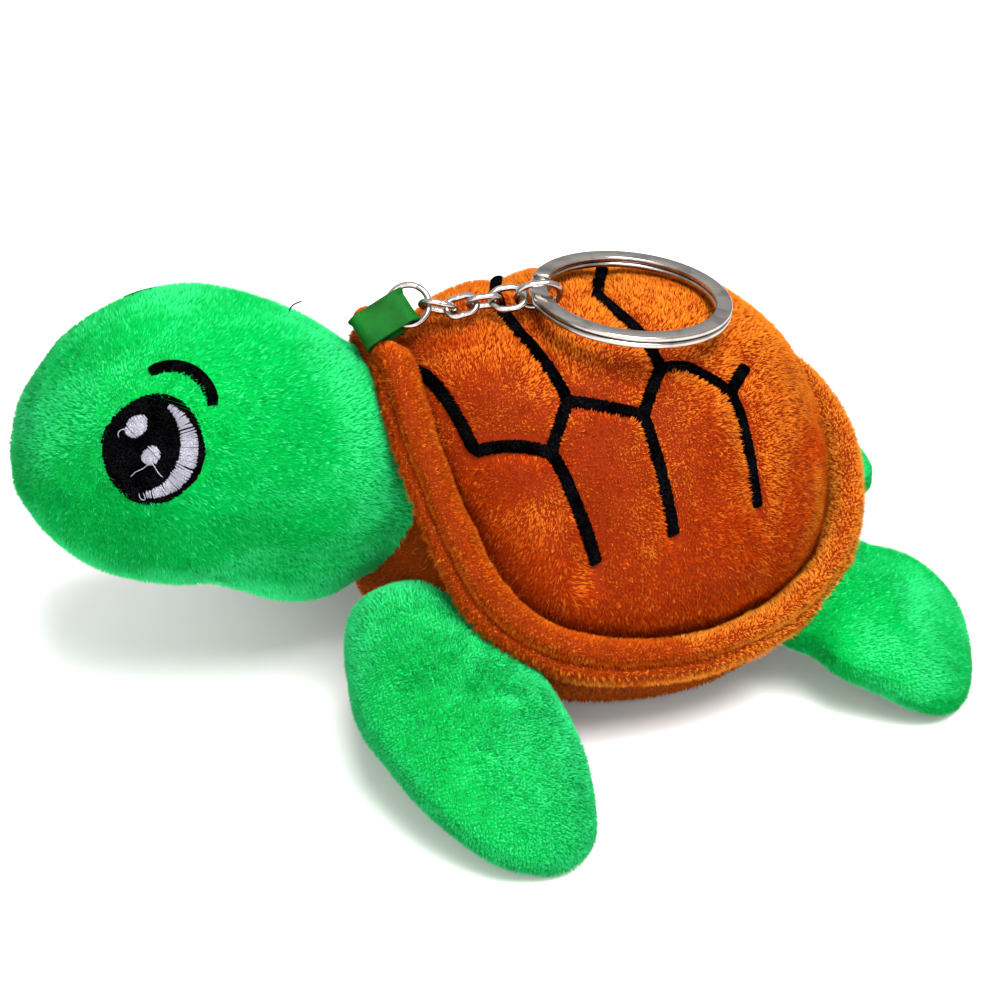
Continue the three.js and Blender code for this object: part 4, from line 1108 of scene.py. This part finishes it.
low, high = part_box("ribbon_loop")
middle = (np.array(low) + np.array(high)) * 500
ribbon_turn = Euler((math.radians(44), -math.radians(27), math.radians(94))).to_matrix()
long_way, wide_way, flat_way = (np.array(ribbon_turn.col[k]) for k in range(3))
ribbon_half_wide, ribbon_thick = 2.5, 0.42
half_long, half_loop = 4.3, 1.7
turns = np.concatenate([np.linspace(90, 270, 19), np.linspace(270, 450, 19)])
ends = np.concatenate([np.full(19, -(half_long - half_loop)), np.full(19, half_long - half_loop)])
bends = (half_loop - 0.3) * np.stack([np.cos(np.radians(turns)), np.sin(np.radians(turns))], 1)
line, round_share = evenly_round(bends + np.stack([ends, 0 * ends], 1), 120)
way = ahead_round(line)
outs = np.stack([way[:, 1], -way[:, 0]], 1)
outs = outs if (outs * line).sum() > 0 else -outs
wide = np.linspace(-1, 1, 25)
ribs, rib_rise = 46, 0.26
at_edge = np.clip((np.abs(wide) - 0.7) / 0.2, 0, 1)
rib = rib_rise * at_edge[None] * (0.5 + 0.5 * np.sin(round_share * 2 * math.pi * ribs))[:, None]
front = [(w, ribbon_thick / 2 + rib[:, i]) for i, w in enumerate(wide)]
behind = [(w, np.full(len(line), -ribbon_thick / 2)) for w in wide[::-1]]
rings = np.stack([
    middle + long_way * (line[:, :1] + outs[:, :1] * lift[:, None])
    + flat_way * (line[:, 1:] + outs[:, 1:] * lift[:, None]) + wide_way * (w * ribbon_half_wide)
    for w, lift in front + behind
], 1)
piece("ribbon", rings.reshape(-1, 3), ring_faces(*rings.shape[:2], looped=True), ribbon_green, "body",
      ["ribbon_loop"], "green_ribbon")


# Chain
# The jump ring, the small links and the end link are bent from round steel wire and nickel plated.
# Each link's ends are pressed together without solder, and handling leaves fine scratches in the plating.
nickel, make, shader = new_material("nickel_plating", Metallic=1.0)
scratch = make.noise(2400.0, detail=5.0, distortion=3.0)
# Cloudy darker patches in the plating's colour are painted dark reflections
painted_reflection = make.ramp(make.noise(260.0, detail=3.0), 0.45, 0.75, 0, 0.6)
make.put(shader, "Base Color", make.mix(painted_reflection, srgb(172, 166, 160), srgb(92, 86, 81)))
make.put(shader, "Roughness", make.math("MULTIPLY_ADD", scratch, 0.16, 0.1))
relief(make, shader, scratch, strength=0.12, depth=0.00005)

wire_radius, wire_swell, wire_sides, link_steps = 0.4, 0.06, 14, 96

for node in ("jump_ring", "chain_link_1", "chain_link_2", "chain_link_3", "round_link", "end_link"):
    middle, ways, halves = axes_of(node)
    half_long, half_wide = halves[0] - wire_radius, halves[1] - wire_radius
    turn = full_turn(link_steps)
    straight = max(half_long - half_wide, 0)
    x = half_wide * np.cos(turn) + straight * np.sign(np.cos(turn)) * (np.abs(np.cos(turn)) > 1e-6)
    flat, _ = evenly_round(np.column_stack([x, half_wide * np.sin(turn)]), link_steps)
    line = middle + flat[:, :1] * ways[0] + flat[:, 1:] * ways[1]
    ahead = ahead_round(line)
    outs = unit(np.cross(ahead, ways[2]))
    over = unit(np.cross(ahead, outs))
    turn = full_turn(wire_sides)
    rings = (wire_radius + wire_swell) * (
        outs[:, None] * np.cos(turn)[None, :, None] + over[:, None] * np.sin(turn)[None, :, None])
    from_join = np.minimum(np.arange(link_steps), link_steps - np.arange(link_steps))
    pinch = np.where(from_join == link_steps // 4, 0.9, 1.0)[:, None, None]
    piece(node.replace("chain_", "") + "_wire", (line[:, None] + rings * pinch).reshape(-1, 3),
          ring_faces(link_steps, wire_sides, looped=True), nickel, node, [node], "nickel_wire")


# Split ring
# Two turns of flattened spring wire lie one on the other, and keys are worked on between them.
# The wire steps over from one turn to the other in a short bend, beside its two cut ends.
middle, ways, _ = axes_of("split_ring")
ring_up = ways[2] if ways[2][2] > 0 else -ways[2]
ring_ahead = square_to(np.array([0, 1.0, 0]), ring_up)
ring_side = np.cross(ring_up, ring_ahead)
ring_radius, ring_half_wide, ring_layer, ring_gap = 13.0, 1.15, 0.76, 0.16
turn = np.linspace(0, 4 * math.pi, 360)
step = (ring_layer + ring_gap) / 2
climb = -step + 2 * step * np.clip((turn - math.radians(340)) / math.radians(40), 0, 1)
start = math.radians(150)
outs = ring_ahead * np.cos(turn + start)[:, None] + ring_side * np.sin(turn + start)[:, None]
line = middle + outs * ring_radius + ring_up * climb[:, None]
corners = np.array([
    (-0.82, -1), (0.82, -1), (0.95, -0.8), (1, -0.45), (1, 0.45), (0.95, 0.8), (0.82, 1), (-0.82, 1),
    (-0.95, 0.8), (-1, 0.45), (-1, -0.45), (-0.95, -0.8),
])
rings = (
    line[:, None]
    + outs[:, None] * (ring_half_wide * corners[:, 0])[None, :, None]
    + ring_up * (ring_layer / 2 * corners[:, 1])[None, :, None]
)
piece("split_ring_coil", *closed_form(rings), nickel, "split_ring", ["split_ring"], "nickel_wire")


# Table, lights and camera
# The toy lies on a plain white table in soft daylight from above and behind the camera.
# The camera looks at its left side from the front, a little from above, as in the photograph.
table_white, make, shader = new_material("table_white", Roughness=0.9, Specular_IOR_Level=0.1)
shader.inputs["Base Color"].default_value = (0.86, 0.85, 0.85, 1)
seen = make.node("ShaderNodeLightPath").outputs["Is Camera Ray"]
reach = make.node("ShaderNodeVectorMath", {"operation": "LENGTH"})
make.put(reach, "0", make.node("ShaderNodeTexCoord").outputs["Object"])
far = make.ramp(reach.outputs["Value"], 0.3, 1.4)
glow = make.node("ShaderNodeEmission", Strength=1.0)
make.put(glow, "Color", make.mix(far, (0.08, 0.08, 0.08, 1), (0.8, 0.8, 0.8, 1)))
both = make.fill(make.node("ShaderNodeAddShader"), shader.outputs[0], glow.outputs[0])
only = make.fill(make.node("ShaderNodeMixShader"), seen, shader.outputs[0], both)
make.put(table_white.node_tree.nodes["Material Output"], "Surface", only)
bpy.ops.mesh.primitive_plane_add(size=6, location=(0, 0, 0))
table = bpy.context.object
table.name = "table"
table.data.materials.append(table_white)
table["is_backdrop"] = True

world = bpy.data.worlds.new("room")
bpy.context.scene.world = world
world.use_nodes = True
make = Maker(world.node_tree)
sky = world.node_tree.nodes["Background"]
sky.inputs["Strength"].default_value = 1.0
way = make.node("ShaderNodeSeparateXYZ", Vector=make.node("ShaderNodeTexCoord").outputs["Generated"])
room = make.mix(make.ramp(way.outputs["Z"], 0.0, 0.8), (0.46, 0.46, 0.46, 1), (0.9, 0.9, 0.9, 1))
seen = make.node("ShaderNodeLightPath").outputs["Is Camera Ray"]
make.put(sky, "Color", make.mix(seen, room, (1, 1, 1, 1)))


def soft_lamp(name, place, size, power):
    lamp = bpy.data.lights.new(name, "AREA")
    lamp.size, lamp.energy = size, power
    held = put_in_scene(name, lamp)
    held.location = place
    held.rotation_mode = "QUATERNION"
    held.rotation_quaternion = (Vector(shell_middle / 1000) - Vector(place)).to_track_quat("-Z", "Y")


soft_lamp("window", (0.39, 0.05, 0.75), size=0.45, power=15.0)
soft_lamp("room", (0.72, -0.34, 0.25), size=0.9, power=4.2)

camera_azimuth, camera_height, camera_distance = math.radians(75), math.radians(31), 0.42
aim = Vector((shell_middle + np.array([0, -17, 25])) / 1000)
back = Vector((
    math.sin(camera_azimuth) * math.cos(camera_height),
    -math.cos(camera_azimuth) * math.cos(camera_height),
    math.sin(camera_height),
))
lens = bpy.data.cameras.new("camera")
lens.lens, lens.sensor_width, lens.clip_start = 104, 36, 0.01
camera = put_in_scene("camera", lens)
camera.location = aim + back * camera_distance
camera.rotation_mode = "QUATERNION"
camera.rotation_quaternion = (-back).to_track_quat("-Z", "Y")
bpy.context.scene.camera = camera
bpy.context.scene.view_settings.view_transform = "Standard"

bpy.context.view_layer.update()
low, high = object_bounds()
